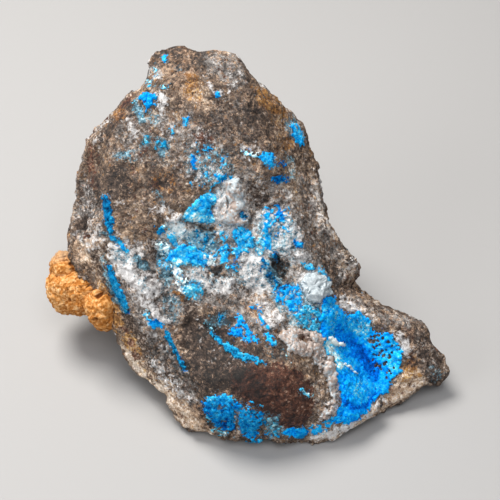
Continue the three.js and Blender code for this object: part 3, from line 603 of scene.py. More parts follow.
# blue crusts that stand for a CAD node each; tone 0 is deep blue and 1 is pale
crustMarks = dict(
    cyanotrichite_pocket=area([(322, 298), (333, 296), (338, 306), (345, 314), (358, 312), (369, 318),
        (374, 330), (383, 331), (394, 334), (399, 345), (404, 354), (401, 362), (402, 371), (395, 378),
        (390, 386), (386, 394), (377, 400), (370, 410), (360, 418), (348, 423), (335, 425), (328, 420),
        (336, 414), (341, 400), (337, 385), (336, 376), (337, 368), (331, 358), (323, 350), (320, 336),
        (320, 316)], teal=0, tone=0.44, thick=0.5, lumps=0.6),
    cyanotrichite_foot=area([(203, 402), (209, 397), (214, 394), (224, 394), (233, 397), (240, 404),
        (250, 410), (261, 412), (265, 420), (259, 426), (258, 432), (262, 439), (250, 441), (242, 436),
        (234, 428), (228, 433), (220, 428), (211, 419), (205, 411)], teal=0.5, tone=0.42, thick=0.4,
        lumps=0.6, share=0.84, ragged=1.3),
    cyanotrichite_lens=area([(281, 433), (287, 428), (298, 427), (308, 429), (309, 434), (302, 438),
        (290, 438)], teal=0.1, tone=0.48, thick=0.45, ragged=0.4, lumps=0.4),
    cyanotrichite_streak=area([(208, 329), (215, 333), (223, 340), (233, 345), (241, 351), (251, 355),
        (260, 358), (267, 364), (266, 367), (258, 365), (248, 362), (238, 359), (230, 355), (222, 348),
        (214, 340)], teal=1, tone=0.42, thick=0.4, ragged=0.7, lumps=0.6, share=0.86),
    cyanotrichite_wedge=area([(181, 216), (190, 206), (200, 196), (208, 192), (216, 194), (218, 200),
        (212, 208), (214, 217), (216, 224), (206, 224), (196, 222), (188, 222), (183, 219)], teal=0.5,
        tone=0.62, thick=0.42, ragged=0.45, lumps=0.35),
    cyanotrichite_centre=area([(164, 260), (169, 250), (180, 243), (192, 246), (203, 252), (208, 261),
        (205, 271), (195, 266), (186, 264), (176, 266)], teal=0.4, tone=0.5, thick=0.5, lumps=0.7,
        share=0.97),
    cyanotrichite_cluster=area([(234, 231), (240, 224), (247, 229), (255, 238), (255, 246), (247, 252),
        (241, 256), (242, 264), (236, 271), (228, 268), (228, 256), (236, 248), (233, 240)], teal=0.3,
        tone=0.62, thick=0.5, share=0.88, ragged=1.2),
    cyanotrichite_left_vein_upper=area([(103, 194), (110, 196), (112, 210), (114, 222), (114, 232),
        (108, 234), (105, 222), (103, 208)], teal=0.9, tone=0.26, thick=0.35, lumps=0.3, ragged=0.6),
    cyanotrichite_left_vein_lower=area([(107, 264), (112, 265), (115, 274), (120, 285), (126, 298),
        (130, 312), (126, 313), (119, 300), (113, 290), (109, 277)], teal=0.85, tone=0.42, thick=0.35,
        lumps=0.3, ragged=0.5),
    cyanotrichite_crown=area([(140, 94), (150, 91), (157, 94), (156, 104), (149, 112), (144, 106),
        (140, 100)], teal=0.35, tone=0.42, thick=0.4, lumps=0.9, ragged=1.2, share=0.85),
    cyanotrichite_shoulder=area([(289, 125), (294, 123), (300, 130), (304, 142), (300, 145), (293, 138)],
        teal=0.25, tone=0.56, thick=0.4, lumps=0.8, ragged=1, share=1),
)

# quartz that stands proud of the rock; tone 0 is white and 1 is tan
quartzMarks = dict(
    quartz_knob=dict(
        top=area([(301, 282), (306, 274), (314, 272), (323, 278), (330, 287), (327, 297), (317, 303),
            (307, 301), (302, 294)], tone=-0.1, thick=1.6, lumps=0.12, share=1),
    ),
    quartz_rim=dict(
        start=area([(279, 337), (285, 329), (296, 328), (306, 331), (317, 331), (325, 338), (322, 350),
            (312, 358), (298, 356), (287, 350)], tone=0.68, thick=1.1, lumps=0.7, share=1),
        crest=area([(316, 344), (323, 349), (330, 357), (336, 366), (336, 376), (335, 386), (338, 400),
            (332, 414), (326, 421), (320, 420), (324, 408), (329, 394), (326, 378), (316, 364), (310, 354)],
            tone=0.6, thick=1.1, lumps=0.7),
    ),
    quartz_blade=dict(
        blade=area([(224, 181), (232, 178), (239, 178), (242, 192), (246, 206), (247, 211), (240, 212),
            (240, 219), (248, 221), (243, 225), (230, 226), (220, 221), (219, 212), (224, 202), (226, 192)],
            tone=0.4, thick=1.0, ragged=0.5, lumps=0.1, share=1),
    ),
)

# white flakes of gypsum lying in the pocket
flakeMarks = dict(
    upper=stripe([(329, 339), (333, 344), (340, 344)], 5.5, tone=-0.5),
    lower=stripe([(342, 366), (348, 368), (354, 374)], 2.8, tone=-0.5),
)

# places where round pits go right through a crust, to the brown rock
pitMarks = dict(
    pocketRight=area([(368, 333), (378, 331), (396, 335), (405, 352), (404, 372), (392, 382), (378, 374),
        (368, 362), (366, 346)], soft=4, radius=0.32),
    pocketTop=area([(352, 314), (368, 318), (374, 332), (360, 330)], soft=4, radius=0.16),
    foot=area([(206, 398), (236, 398), (262, 412), (262, 440), (230, 438), (208, 416)], soft=4,
        radius=0.24),
    footMiddle=area([(216, 404), (222, 403), (224, 410), (218, 411)], soft=2, radius=0.6),
    footMiddleLow=area([(221, 418), (227, 418), (227, 422), (222, 422)], soft=2, radius=0.6),
    footGap=area([(232, 408), (240, 410), (242, 432), (234, 436)], soft=3, radius=0.7),
    cluster=area([(228, 250), (244, 250), (244, 270), (228, 270)], soft=4, radius=0.2),
    rimHollow=area([(297, 336), (308, 335), (312, 341), (304, 346), (297, 343)], soft=1.5, radius=0.42),
    crestCrystals=area([(309, 352), (322, 352), (327, 362), (318, 367)], soft=2, radius=0.38),
    crestLow=area([(322, 396), (340, 396), (336, 418), (320, 420)], soft=3, radius=0.4),
    clusterDot=stripe([(232, 258), (234, 262)], 7.5, soft=1, radius=1.5),
    clusterDotRight=stripe([(240, 262), (245, 264)], 7.5, soft=1, radius=1.5),
    bladeSlit=stripe([(227, 199), (228, 208)], 1.4, soft=1, radius=1.5),
    bladeCrack=stripe([(243, 192), (247, 206), (250, 217)], 1.6, soft=1, radius=1.5),
)

# steps in the rock: inside the outline it stands higher by height mm, over an edge of soft view units
stepMarks = dict(
    upperBlock=area([(104, 150), (105, 200), (113, 238), (152, 234), (180, 218), (196, 202), (216, 186),
        (230, 170), (244, 176), (256, 192), (284, 176), (262, 120), (200, 60), (140, 100)], height=0.7,
        soft=2.5),
    wedgeBlock=area([(180, 218), (196, 202), (214, 190), (222, 202), (214, 226), (194, 224)], height=0.6,
        soft=2.5),
    pinkQuartz=area([(246, 300), (262, 294), (282, 304), (286, 322), (270, 332), (250, 328)], height=0.7,
        soft=4),
    centreLump=area([(222, 262), (246, 254), (270, 262), (268, 282), (244, 290), (226, 284)], height=0.6,
        soft=3),
    leftQuartz=area([(112, 242), (150, 244), (160, 266), (168, 292), (150, 304), (128, 280)], height=0.5,
        soft=3),
    besideKnob=area([(284, 210), (300, 228), (308, 252), (294, 262), (284, 246)], height=0.5, soft=3),
    bedFloor=area([(190, 316), (230, 336), (262, 356), (240, 372), (210, 376), (192, 350)], height=-0.6,
        soft=5),
    darkNook=area([(246, 184), (268, 188), (268, 208), (254, 214)], height=-0.7, soft=4),
    bandFloor=area([(150, 334), (170, 340), (196, 384), (204, 408), (186, 400), (164, 368)], height=-0.5,
        soft=3),
    leftCream=area([(90, 219), (98, 217), (104, 227), (103, 248), (94, 253), (87, 240)], height=0.8,
        soft=3),
    leftBand=area([(72, 238), (84, 238), (98, 262), (90, 268), (76, 256)], height=0.5, soft=3),
    blade=area([(218, 186), (238, 176), (250, 214), (244, 228), (218, 222)], height=0.4, soft=2),
    strandGaps=area([(164, 214), (182, 214), (188, 236), (166, 238)], height=0.5, soft=3),
    rimFloor=area([(345, 296), (372, 306), (388, 314), (376, 322), (352, 306)], height=-0.4, soft=3),
    bladeMiddle=area([(224, 186), (240, 184), (244, 196), (226, 198)], height=0.6, soft=4),
)

# where the rock's edge is seen, clockwise from the top
rimOutline = [
    (172, 49), (184, 48), (191, 51), (198, 53), (206, 51), (226, 53), (234, 56), (243, 66), (268, 92),
    (291, 110), (303, 127), (309, 149), (318, 168), (321, 197), (328, 222), (343, 247), (356, 262),
    (357, 275), (343, 282), (341, 288), (357, 296), (377, 307), (406, 315), (425, 323), (430, 331),
    (429, 340), (445, 356), (450, 372), (445, 384), (423, 386), (401, 401), (372, 416), (350, 430),
    (337, 439), (313, 443), (284, 440), (250, 442), (222, 440), (205, 432), (197, 431), (183, 427),
    (173, 419), (168, 408), (166, 395), (157, 390), (147, 382), (137, 375), (129, 364), (122, 352),
    (117, 341), (116, 334), (104, 318), (92, 296), (76, 272), (68, 256), (71, 232), (76, 200), (78, 180),
    (84, 155), (88, 140), (110, 120), (121, 104), (130, 95), (141, 90), (148, 80), (150, 60), (153, 54),
    (165, 48),
]

# thin blue grains scattered over the face
grainMarks = dict(
    topSpot=area([(161, 54), (167, 54), (167, 63), (162, 63)], tone=0.45),
    topStrip=stripe([(154, 67), (156, 76)], 3, tone=0.9, share=0.6),
    topStripLow=stripe([(150, 79), (148, 87)], 4, tone=0.75, share=0.8),
    topRight=stripe([(161, 88), (168, 87)], 4, tone=0.75, share=0.8),
    crownPale=area([(131, 101), (137, 98), (142, 110), (146, 120), (140, 122), (134, 112)], teal=1,
        tone=0.7, share=0.45),
    veinSpot=area([(214, 92), (220, 92), (221, 98), (215, 100)], tone=0.45),
    middleSpot=area([(183, 118), (190, 117), (190, 126), (184, 126)], tone=0.42),
    besideMiddle=area([(170, 126), (175, 127), (175, 137), (171, 136)], tone=0.6, share=0.7),
    teal=area([(140, 141), (149, 136), (150, 142), (142, 149)], teal=1, tone=0.6, share=0.6),
    darkTeal=area([(154, 141), (167, 139), (168, 150), (156, 152)], teal=1, tone=0.45, share=0.52),
    leftPale=area([(118, 153), (132, 149), (133, 160), (119, 162)], teal=1, tone=0.7, share=0.35),
    strip=area([(189, 153), (195, 152), (198, 166), (196, 171), (190, 165)], tone=0.4, share=0.8),
    stripBelow=area([(202, 172), (209, 171), (212, 182), (204, 181)], tone=0.65, share=0.65),
    patchA=area([(214, 173), (226, 174), (226, 183), (217, 184)], tone=0.42, share=0.8),
    patchB=area([(218, 154), (226, 156), (228, 168), (220, 168)], tone=0.6, share=0.6),
    upperDots=area([(196, 144), (214, 146), (214, 162), (200, 164)], tone=0.6, share=0.36),
    dot=stripe([(206, 148), (210, 150)], 4, tone=0.5),
    bladeTop=stripe([(230, 178), (235, 181)], 4, tone=0.55),
    brightLeft=stripe([(244, 152), (257, 155)], 5, tone=0.85, share=0.7),
    bright=area([(257, 153), (265, 151), (273, 155), (276, 167), (270, 169), (265, 165), (260, 160)],
        tone=0.5),
    edgeDot=area([(281, 161), (285, 161), (285, 167), (281, 167)], tone=0.16),
    edgeBlob=area([(272, 179), (277, 175), (285, 176), (288, 181), (282, 183), (274, 183)], tone=0.2),
    columnA=area([(275, 203), (280, 203), (284, 216), (282, 223), (277, 214)], tone=0.3, share=0.95),
    columnB=area([(264, 212), (269, 212), (271, 226), (266, 227)], tone=0.5, share=0.95),
    columnC=stripe([(267, 228), (269, 248)], 5, tone=0.5, share=0.9),
    columnD=stripe([(260, 228), (262, 250)], 5, tone=0.85, share=0.5),
    columnE=stripe([(274, 252), (276, 260)], 5, tone=0.45),
    clusterDots=stripe([(242, 214), (246, 217)], 5, tone=0.1, share=1, teal=1),
    rightBlob=area([(292, 239), (299, 240), (304, 245), (303, 249), (295, 247)], tone=0.3, share=1,
        ragged=0.6),
    rightRun=stripe([(304, 264), (313, 270)], 5, tone=0.7),
    edgeRunLow=stripe([(320, 270), (329, 284)], 5, tone=0.6),
    wedgeTail=stripe([(211, 188), (218, 184)], 4, tone=0.6),
    underWedge=area([(186, 230), (200, 228), (216, 232), (218, 246), (204, 252), (188, 244)], teal=1,
        tone=0.36, share=0.46),
    strandA=area([(156, 228), (161, 226), (165, 232), (160, 237), (156, 234)], tone=0.5),
    strandB=stripe([(170, 236), (178, 246)], 8, tone=0.6, share=0.9),
    strandC=area([(156, 242), (166, 242), (174, 252), (168, 258), (158, 252)], teal=1, tone=0.95,
        share=0.72),
    strandD=stripe([(160, 262), (170, 268), (168, 278)], 8, tone=0.6, share=0.5),
    veinTail=stripe([(111, 237), (118, 241), (127, 251)], 5, tone=0.55, ragged=0.5, lumps=0.3),
    veinLow=stripe([(121, 298), (128, 312)], 4, tone=0.1, share=0.7, ragged=0.5),
    smear=area([(183, 283), (200, 281), (204, 291), (197, 299), (184, 296)], teal=1, tone=0.65,
        share=0.76),
    clusterRight=area([(254, 240), (266, 236), (266, 252), (256, 256)], tone=0.7, share=0.7),
    clusterLow=area([(218, 244), (228, 242), (230, 262), (220, 264)], tone=0.55, share=0.72),
    centreRight=area([(204, 246), (218, 250), (216, 264), (204, 258)], tone=0.55, share=0.5),
    besideCavity=stripe([(262, 262), (268, 272), (277, 284)], 8, teal=0.9, tone=0.24, share=0.6),
    mottleA=area([(272, 288), (284, 284), (300, 286), (302, 300), (304, 314), (294, 316), (286, 306),
        (276, 300)], tone=0.4, share=0.72),
    mottleB=area([(296, 306), (312, 304), (324, 316), (322, 332), (308, 334), (296, 322)], tone=0.58,
        share=0.66, teal=1),
    mottleEdge=stripe([(322, 300), (326, 312)], 6, tone=0.2, share=0.8),
    arcA=area([(226, 331), (236, 324), (246, 326), (256, 334), (260, 343), (250, 345), (240, 338),
        (230, 338)], tone=0.34, share=0.72, teal=0.5),
    arcB=area([(236, 313), (243, 315), (247, 326), (240, 328), (236, 322)], tone=0.38, share=0.8,
        teal=0.5),
    arcC=stripe([(268, 335), (273, 345)], 6, tone=0.5, share=0.9),
    arcD=stripe([(251, 304), (256, 309), (262, 306)], 4, tone=0.3, share=0.7),
    specksA=stripe([(261, 312), (260, 322), (268, 328)], 6, tone=0.5, share=0.68),
    muted=area([(216, 314), (228, 312), (230, 323), (218, 324)], teal=1, tone=0.3, share=0.62),
    streakTop=area([(205, 322), (212, 326), (216, 332), (208, 332)], teal=1, tone=0.8, share=0.6),
    lowerA=area([(147, 321), (154, 319), (164, 323), (162, 328), (151, 328)], tone=0.4, share=0.92),
    lowerB=stripe([(146, 312), (149, 320)], 5, tone=0.75, share=0.7),
    lowerVein=stripe([(166, 332), (173, 346), (179, 358), (184, 369)], 5, teal=1, tone=0.28, lumps=0.3,
        ragged=0.6),
    sparkle=stripe([(176, 269), (181, 277), (183, 288)], 12, tone=1.1, share=0.62, ragged=0.7),
    sparkleRight=stripe([(203, 258), (211, 262)], 9, tone=1.25, share=0.86, ragged=0.6),
    footLeft=area([(205, 414), (214, 420), (228, 434), (224, 438), (212, 430)], teal=1, tone=0.7,
        share=0.45),
    footBand=area([(236, 398), (246, 401), (262, 406), (264, 410), (248, 410)], tone=0.5, share=0.5),
    footRight=area([(264, 416), (280, 418), (284, 430), (268, 436)], teal=1, tone=0.75, share=0.5),
    lipRun=area([(309, 427), (326, 420), (336, 414), (338, 422), (322, 434), (310, 435)], tone=0.5,
        share=0.7),
    bulgeDots=stripe([(301, 391), (310, 395)], 5, tone=0.75, share=0.7),
    bulgeBlue=stripe([(284, 356), (290, 362)], 6, tone=0.9, share=0.4),
    pocketEdge=area([(394, 336), (403, 350), (401, 376), (390, 385), (386, 376), (394, 362)], teal=1,
        tone=0.6, share=0.5),
    nearCluster=area([(218, 226), (228, 228), (232, 240), (222, 244)], tone=0.6, share=0.5),
    nearColumn=area([(262, 206), (288, 206), (292, 226), (278, 240), (262, 236)], tone=0.5, share=0.5),
    upperWedge=area([(186, 180), (206, 176), (214, 186), (200, 194), (188, 190)], tone=0.5, share=0.3),
    lensLeft=stripe([(266, 434), (280, 436)], 4, tone=0.5, share=0.6),
    strandE=stripe([(164, 226), (172, 232), (182, 238)], 6, tone=0.75, share=0.5),
)


rockShape = {
    "coarseSteps": 2,       # how often every edge is halved
    "fineSteps": 1,         # and again on the broken face
    "fineLean": 0.12,       # how far a surface must face the camera for that
    "softPasses": 2,
    "restHeight": 0.05,     # mm, lower points are the flat it rests on and stay there
    "clearHeight": 0.1,     # mm, no other point comes lower
    "seenLean": (-0.05, 0.15),
    "seenLift": 0.15,       # mm off the rock, where its line to the camera starts
    "rimPasses": 3,
    "rimReach": 16,         # view units
    "rimFull": 0.6,         # of that reach
    "rimLean": 0.6,         # 0 is edge on
    "rimFloor": 0.3,        # mm above the floor
    "chipSize": 5.5,        # mm
    "chipHeight": 0.9,
    "chipShare": (1.5, -0.7, -0.5),    # anywhere, less where seen, less on smooth rust
    "smallChipSize": 2.1,
    "smallChipHeight": 0.5,
    "lumpyShare": (0.6, 0.7),          # small chips stand higher on the paler kinds
    "rustShare": (1, -0.6),            # and lower on smooth rust
    "slabSize": 12,         # the broad broken faces of the back and underside
    "slabHeight": 1.3,
    "seamDepth": 0.22,      # of the fine gaps between small chips
    "seamWidth": 0.12,      # of a small chip
    "crumbSize": 1.5,
    "crumbHeight": 0.24,
    "crumbShare": (0.7, 0.8),
    "grainSize": 0.62,
    "grainHeight": 0.15,
    "grainShare": (1, 0.6),
    "whiteRise": 0.35,
    "lumpyKinds": (0.6, 0.6),          # how lumpy grey and tan are beside white
    # quartz sheets through the rock: which way each faces, its place and width in mm
    "quartzSheets": [((0.9, 0.2, 0.4), 9, 1.2), ((-0.5, 0.3, 0.8), 24, 0.8), ((0.7, -0.6, -0.3), -17, 1.0),
                     ((0.2, 0.9, 0.5), 31, 1.3), ((-0.8, 0.1, 0.6), 33, 0.9)],
    "sheetBend": (8, 1.6, 2.2, 0.5),   # size and height in mm of their bends, then of their roughness
    "sheetGaps": (10, -0.25, 0.15),
    "sheetShare": 0.9,
    "raggedEdge": 2.6,      # view units that a mark's edge wanders for one wave of noise
    "raggedReach": 1.6,     # times that
    "raggedSizes": (1.1, 0.5),         # mm
    "raggedFine": 0.6,
    # how far a mark's edge fades, in view units, unless the mark says
    "soft": {"white": 7, "grey": 8, "rust": 6, "dark": 6, "tan": 8, "ochre": 7},
    # patches where no mark reaches: size in mm, place in the noise, start, full, most
    "patches": {
        "white": (5.5, 37, 0.3, 0.6, 0.6), "grey": (7, 11, -0.1, 0.4, 1), "rust": (6, 41, 0.25, 0.6, 1),
        "dark": (5, 17, 0.2, 0.6, 0.8), "tan": (8, 23, 0.1, 0.5, 0.8), "ochre": (5, 51, 0.3, 0.6, 0.8),
        "haze": (4, 61, 0.2, 0.6, 0.5), "stain": (4, 61, 0.45, 0.7, 0.6),
    },
    # the least share of each colour, so that a few grains of it show anywhere
    "everywhere": {"white": 0.06, "grey": 0.26, "rust": 0.2, "dark": 0.24, "tan": 0.25, "ochre": 0.12},
    "stainSoft": (6, 4),               # round the crusts and round the grains
    "stainShare": (0.6, 0.72),
    "hazeSoft": (12, 10, 5),           # the same, then of the haze's own marks
    "hazeShare": 0.45,
    "hazeCut": (-0.25, 1.25),
    "bareLoss": 0.4,                   # of white and grey on rust and dark
    "pitLoss": 0.9,
    "hollowWander": 4,
    "hollowEdge": (-1.2, 1.6),
    "hollowShade": (0.1, 0.7),         # mm deep
}


def rockMesh():
    bm = nodeMesh("matrix")
    for step in range(rockShape["coarseSteps"] + rockShape["fineSteps"]):
        bm.normal_update()
        edges = bm.edges[:]
        if step >= rockShape["coarseSteps"]:
            lean = rockShape["fineLean"]
            edges = [e for e in edges if min(v.normal.dot(Vector(faceOut)) for v in e.verts) > lean]
        halve(bm, edges)
        free = [v for v in bm.verts if v.co.z > rockShape["restHeight"] * mm]
        soften(bm, free, rockShape["softPasses"])
    return meshOf(bm, "rock")


def seenFromCamera(mesh, points, normals):
    # 1 where the camera sees the rock, with a soft change at the rim
    tree = BVHTree.FromPolygons([Vector(p) for p in points], [p.vertices[:] for p in mesh.polygons])
    toEye = eye - points
    reach = np.linalg.norm(toEye, axis=1)
    toEye = toEye / reach[:, None]
    facing = np.sum(normals * toEye, axis=1)
    seen = blendStep(facing, *rockShape["seenLean"])
    for i in np.flatnonzero(seen > 0):
        start = Vector(points[i] + normals[i] * rockShape["seenLift"] * mm)
        if tree.ray_cast(start, Vector(toEye[i]))[0] is not None:
            seen[i] = 0
    return seen


def fitRim(mesh):
    # the edge of the rock is drawn in or out until it is seen where the outline says
    reach = rockShape["rimReach"]
    for _ in range(rockShape["rimPasses"]):
        points = places(mesh)
        normals = directions(mesh)
        toEye = eye - points
        toEye /= np.linalg.norm(toEye, axis=1)[:, None]
        edgeOn = np.abs(np.sum(normals * toEye, axis=1))
        inside = depthInside(onView(points), rimOutline)
        weight = 1 - blendStep(edgeOn, 0, rockShape["rimLean"])
        weight *= 1 - blendStep(np.abs(inside), rockShape["rimFull"] * reach, reach)
        weight *= points[:, 2] > rockShape["rimFloor"] * mm
        moved = points + normals * (weight * inside * unit)[:, None]
        moved[:, 2] = np.maximum(moved[:, 2], np.minimum(points[:, 2], rockShape["rimFloor"] * mm))
        setPlaces(mesh, moved)


def stepHeight(spots):
    height = np.zeros(len(spots))
    for mark in stepMarks.values():
        height += mark["height"] * softShare(spots, mark)
    return height


def wanders(points, sizes, shifts, fine):
    # two columns of coarse and fine noise that make a mark's edge ragged
    coarse = np.column_stack([waves(points, sizes[0], shift) for shift in shifts[:2]])
    return coarse + fine * np.column_stack([waves(points, sizes[1], shift) for shift in shifts[2:]])


def colourShares(points, spots, ragged, seen):
    # how much of each colour the rock carries, from the marks where it is seen and from patches elsewhere
    shape = rockShape
    blueSoft, grainSoft = shape["stainSoft"]
    blueShare, grainShare = shape["stainShare"]
    stain = np.maximum(blueShare * coverage(ragged, crustMarks, blueSoft),
                       grainShare * coverage(ragged, grainMarks, grainSoft))
    blueSoft, grainSoft, ownSoft = shape["hazeSoft"]
    haze = np.maximum(coverage(spots, crustMarks, blueSoft), coverage(spots, grainMarks, grainSoft))
    haze = np.maximum(shape["hazeShare"] * haze, coverage(ragged, hazeMarks, ownSoft))
    marks = {"white": whiteMarks, "grey": greyMarks, "rust": rustMarks, "dark": darkMarks,
             "tan": tanMarks, "ochre": ochreMarks}
    shares = {name: coverage(ragged, kind, shape["soft"][name]) for name, kind in marks.items()}
    shares.update(haze=haze, stain=stain)
    for name, share in shares.items():
        size, shift, low, high, most = shape["patches"][name]
        behind = most * blendStep(waves(points, size, shift), low, high)
        if name == "white":
            behind = np.maximum(quartzSheets(points), behind)
        shares[name] = hiddenOr(seen, share, behind)
    for name in ("haze", "stain"):
        shares[name] = shape["hazeCut"][1] * shares[name] + shape["hazeCut"][0]
    for name, least in shape["everywhere"].items():
        shares[name] = np.maximum(shares[name], least)
    bare = np.maximum(shares["rust"], shares["dark"]) * seen
    for name in ("white", "grey"):
        shares[name] -= shape["bareLoss"] * bare * (1 - shares[name])
    pits = pitMarks["pocketRight"]
    for name in ("haze", "stain"):
        shares[name] -= shape["pitLoss"] * coverage(ragged, {"pits": pits}, pits["soft"])
    return shares


def shapeRock(mesh):
    shape = rockShape
    fitRim(mesh)
    points = places(mesh)
    normals = directions(mesh)
    seen = seenFromCamera(mesh, points, normals)
    spots = onView(points)
    wander = wanders(points, shape["raggedSizes"], (3, 9, 5, 7), shape["raggedFine"])
    ragged = spots + wander * shape["raggedEdge"] * shape["raggedReach"]
    fields = colourShares(points, spots, ragged, seen)
    # painted light and shade from the marks, partly the rock's own tone, kept where the camera sees
    shade = np.zeros(len(points))
    for mark in rockToneAndPaintedLightMarks.values():
        shade += mark["shift"] * softShare(ragged, mark)
    fields["shade"] = shade * seen
    # painted shade: the hollow field also darkens the rock's colour
    hollow = hollowDepth(ragged + shape["hollowWander"] * wander) * seen
    fields["hollow"] = blendStep(hollow, *shape["hollowShade"])
    print("rock coloured")

    greyLumps, tanLumps = shape["lumpyKinds"]
    lumpy = np.clip(fields["white"] + greyLumps * fields["grey"] + tanLumps * fields["tan"], 0, 1)
    smooth = fields["rust"] * seen
    height = shape["chipHeight"] * chips(points, shape["chipSize"])
    height *= weighted(shape["chipShare"], seen, smooth)
    small = shape["smallChipHeight"] * chips(points, shape["smallChipSize"], 4)
    height += small * weighted(shape["lumpyShare"], lumpy) * weighted(shape["rustShare"], smooth)
    height += shape["slabHeight"] * chips(points, shape["slabSize"], 6) * (1 - seen)
    gaps = blendStep(seams(points, shape["smallChipSize"], 4), 0, shape["seamWidth"])
    height -= shape["seamDepth"] * (1 - gaps)
    crumbs = shape["crumbHeight"] * rough(points, shape["crumbSize"])
    height += crumbs * weighted(shape["crumbShare"], lumpy)
    grit = shape["grainHeight"] * (0.5 - grains(points, shape["grainSize"]))
    height += grit * weighted(shape["grainShare"], lumpy)
    height += shape["whiteRise"] * fields["white"] * seen - hollow + stepHeight(ragged) * seen

    moved = points + normals * (height * mm)[:, None]
    moved[:, 2] = np.maximum(moved[:, 2], shape["clearHeight"] * mm)
    resting = points[:, 2] < shape["restHeight"] * mm
    moved[resting] = points[resting]
    setPlaces(mesh, moved)
    for name, values in fields.items():
        setField(mesh, name, values)
    setField(mesh, "seen", seen)
    print("rock shaped", len(mesh.polygons), "faces")


def quartzSheets(points):
    # thin sheets of quartz that cut the rock and come and go
    share = np.zeros(len(points))
    bendSize, bend, roughSize, roughness = rockShape["sheetBend"]
    gapSize, gone, full = rockShape["sheetGaps"]
    for number, (way, place, width) in enumerate(rockShape["quartzSheets"]):
        away = points @ np.array(Vector(way).normalized()) / mm - place
        away = away + bend * waves(points, bendSize, 70 + number)
        away = np.abs(away + roughness * rough(points, roughSize, 3, 75))
        present = rockShape["sheetShare"] * blendStep(waves(points, gapSize, 80 + number), gone, full)
        share = np.maximum(share, present * (1 - blendStep(away, 0.5 * width, 1.3 * width)))
    return share


def hiddenOr(seen, onFace, behind):
    return seen * onFace + (1 - seen) * behind


def hollowDepth(spots):
    depth = np.zeros(len(spots))
    for mark in hollowMarks.values():
        edge = blendStep(markDepth(spots, mark), *rockShape["hollowEdge"])
        depth = np.maximum(depth, mark["depth"] * edge)
    return depth


def linear(hexColour):
    parts = [int(hexColour[i:i + 2], 16) / 255 for i in (1, 3, 5)]
    return [c / 12.92 if c <= 0.04045 else ((c + 0.055) / 1.055) ** 2.4 for c in parts] + [1.0]


def addNode(tree, kind, values=None, links=None, stops=None, **settings):
    made = tree.nodes.new("ShaderNode" + kind)
    for name, value in settings.items():
        setattr(made, name, value)
    for socket, value in (values or {}).items():
        made.inputs[socket].default_value = value
    for socket, source in (links or {}).items():
        tree.links.new(source, made.inputs[socket])
    if stops:
        while len(made.color_ramp.elements) < len(stops):
            made.color_ramp.elements.new(0.5)
        for element, (place, colour) in zip(made.color_ramp.elements, stops):
            element.position = place
            element.color = linear(colour)
    return made


def newMaterial(name):
    material = bpy.data.materials.new(name)
    material.use_nodes = True
    tree = material.node_tree
    tree.nodes.clear()
    coords = addNode(tree, "TexCoord").outputs["Object"]
    return material, tree, coords


def perMetre(size):
    # a texture's scale for a pattern of that size in mm
    return 1 / (size * mm)


def finishMaterial(tree, colour, roughness, bumpHeight, bumpDepth, **surface):
    bump = addNode(tree, "Bump", {"Distance": bumpDepth * mm,
                                  "Strength": 1.0}, {"Height": bumpHeight})
    values = {"Roughness": roughness}
    values.update({name.replace("_", " "): value for name, value in surface.items()})
    shader = addNode(
        tree, "BsdfPrincipled", values,
        {"Base Color": colour, "Normal": bump.outputs["Normal"]},
    )
    addNode(tree, "OutputMaterial", None, {"Surface": shader.outputs["BSDF"]})


def crystalCells(tree, coords, size, wobble=0.2):
    # small crystals: three random values each, with edges that aren't straight
    stir = addNode(tree, "TexNoise", {"Scale": perMetre(size * 1.2),
                                      "Detail": 2.0}, {"Vector": coords})
    bent = addNode(
        tree, "VectorMath", {1: [wobble * size * mm] * 3},
        {0: stir.outputs["Color"], 2: coords}, operation="MULTIPLY_ADD",
    )
    cells = addNode(
        tree, "TexVoronoi", {"Scale": perMetre(size)}, {"Vector": bent.outputs["Vector"]}
    )
    return addNode(tree, "SeparateColor", None, {"Color": cells.outputs["Color"]}).outputs


def raggedShare(tree, coords, cells, name, size, spread, edge):
    # a mark's share, broken up into patches of its own that are size mm wide and into single crystals
    amount = addNode(tree, "Attribute", attribute_name=name).outputs["Fac"]
    breakup = addNode(
        tree, "TexNoise",
        {"Scale": perMetre(size), "Detail": 4.0, "Roughness": 0.7, "W": size + 2.7 * len(tree.nodes)},
        {"Vector": coords}, noise_dimensions="4D",
    ).outputs["Fac"]
    mixed = addNode(
        tree, "Math", {1: spread}, {0: breakup, 2: amount}, operation="MULTIPLY_ADD"
    ).outputs[0]
    mixed = addNode(
        tree, "Math", {1: 0.5}, {0: cells, 2: mixed}, operation="MULTIPLY_ADD"
    ).outputs[0]
    middle = 0.75 + spread / 2
    return addNode(
        tree, "MapRange", {"From Min": middle - edge, "From Max": middle + edge},
        {"Value": mixed},
    ).outputs["Result"]


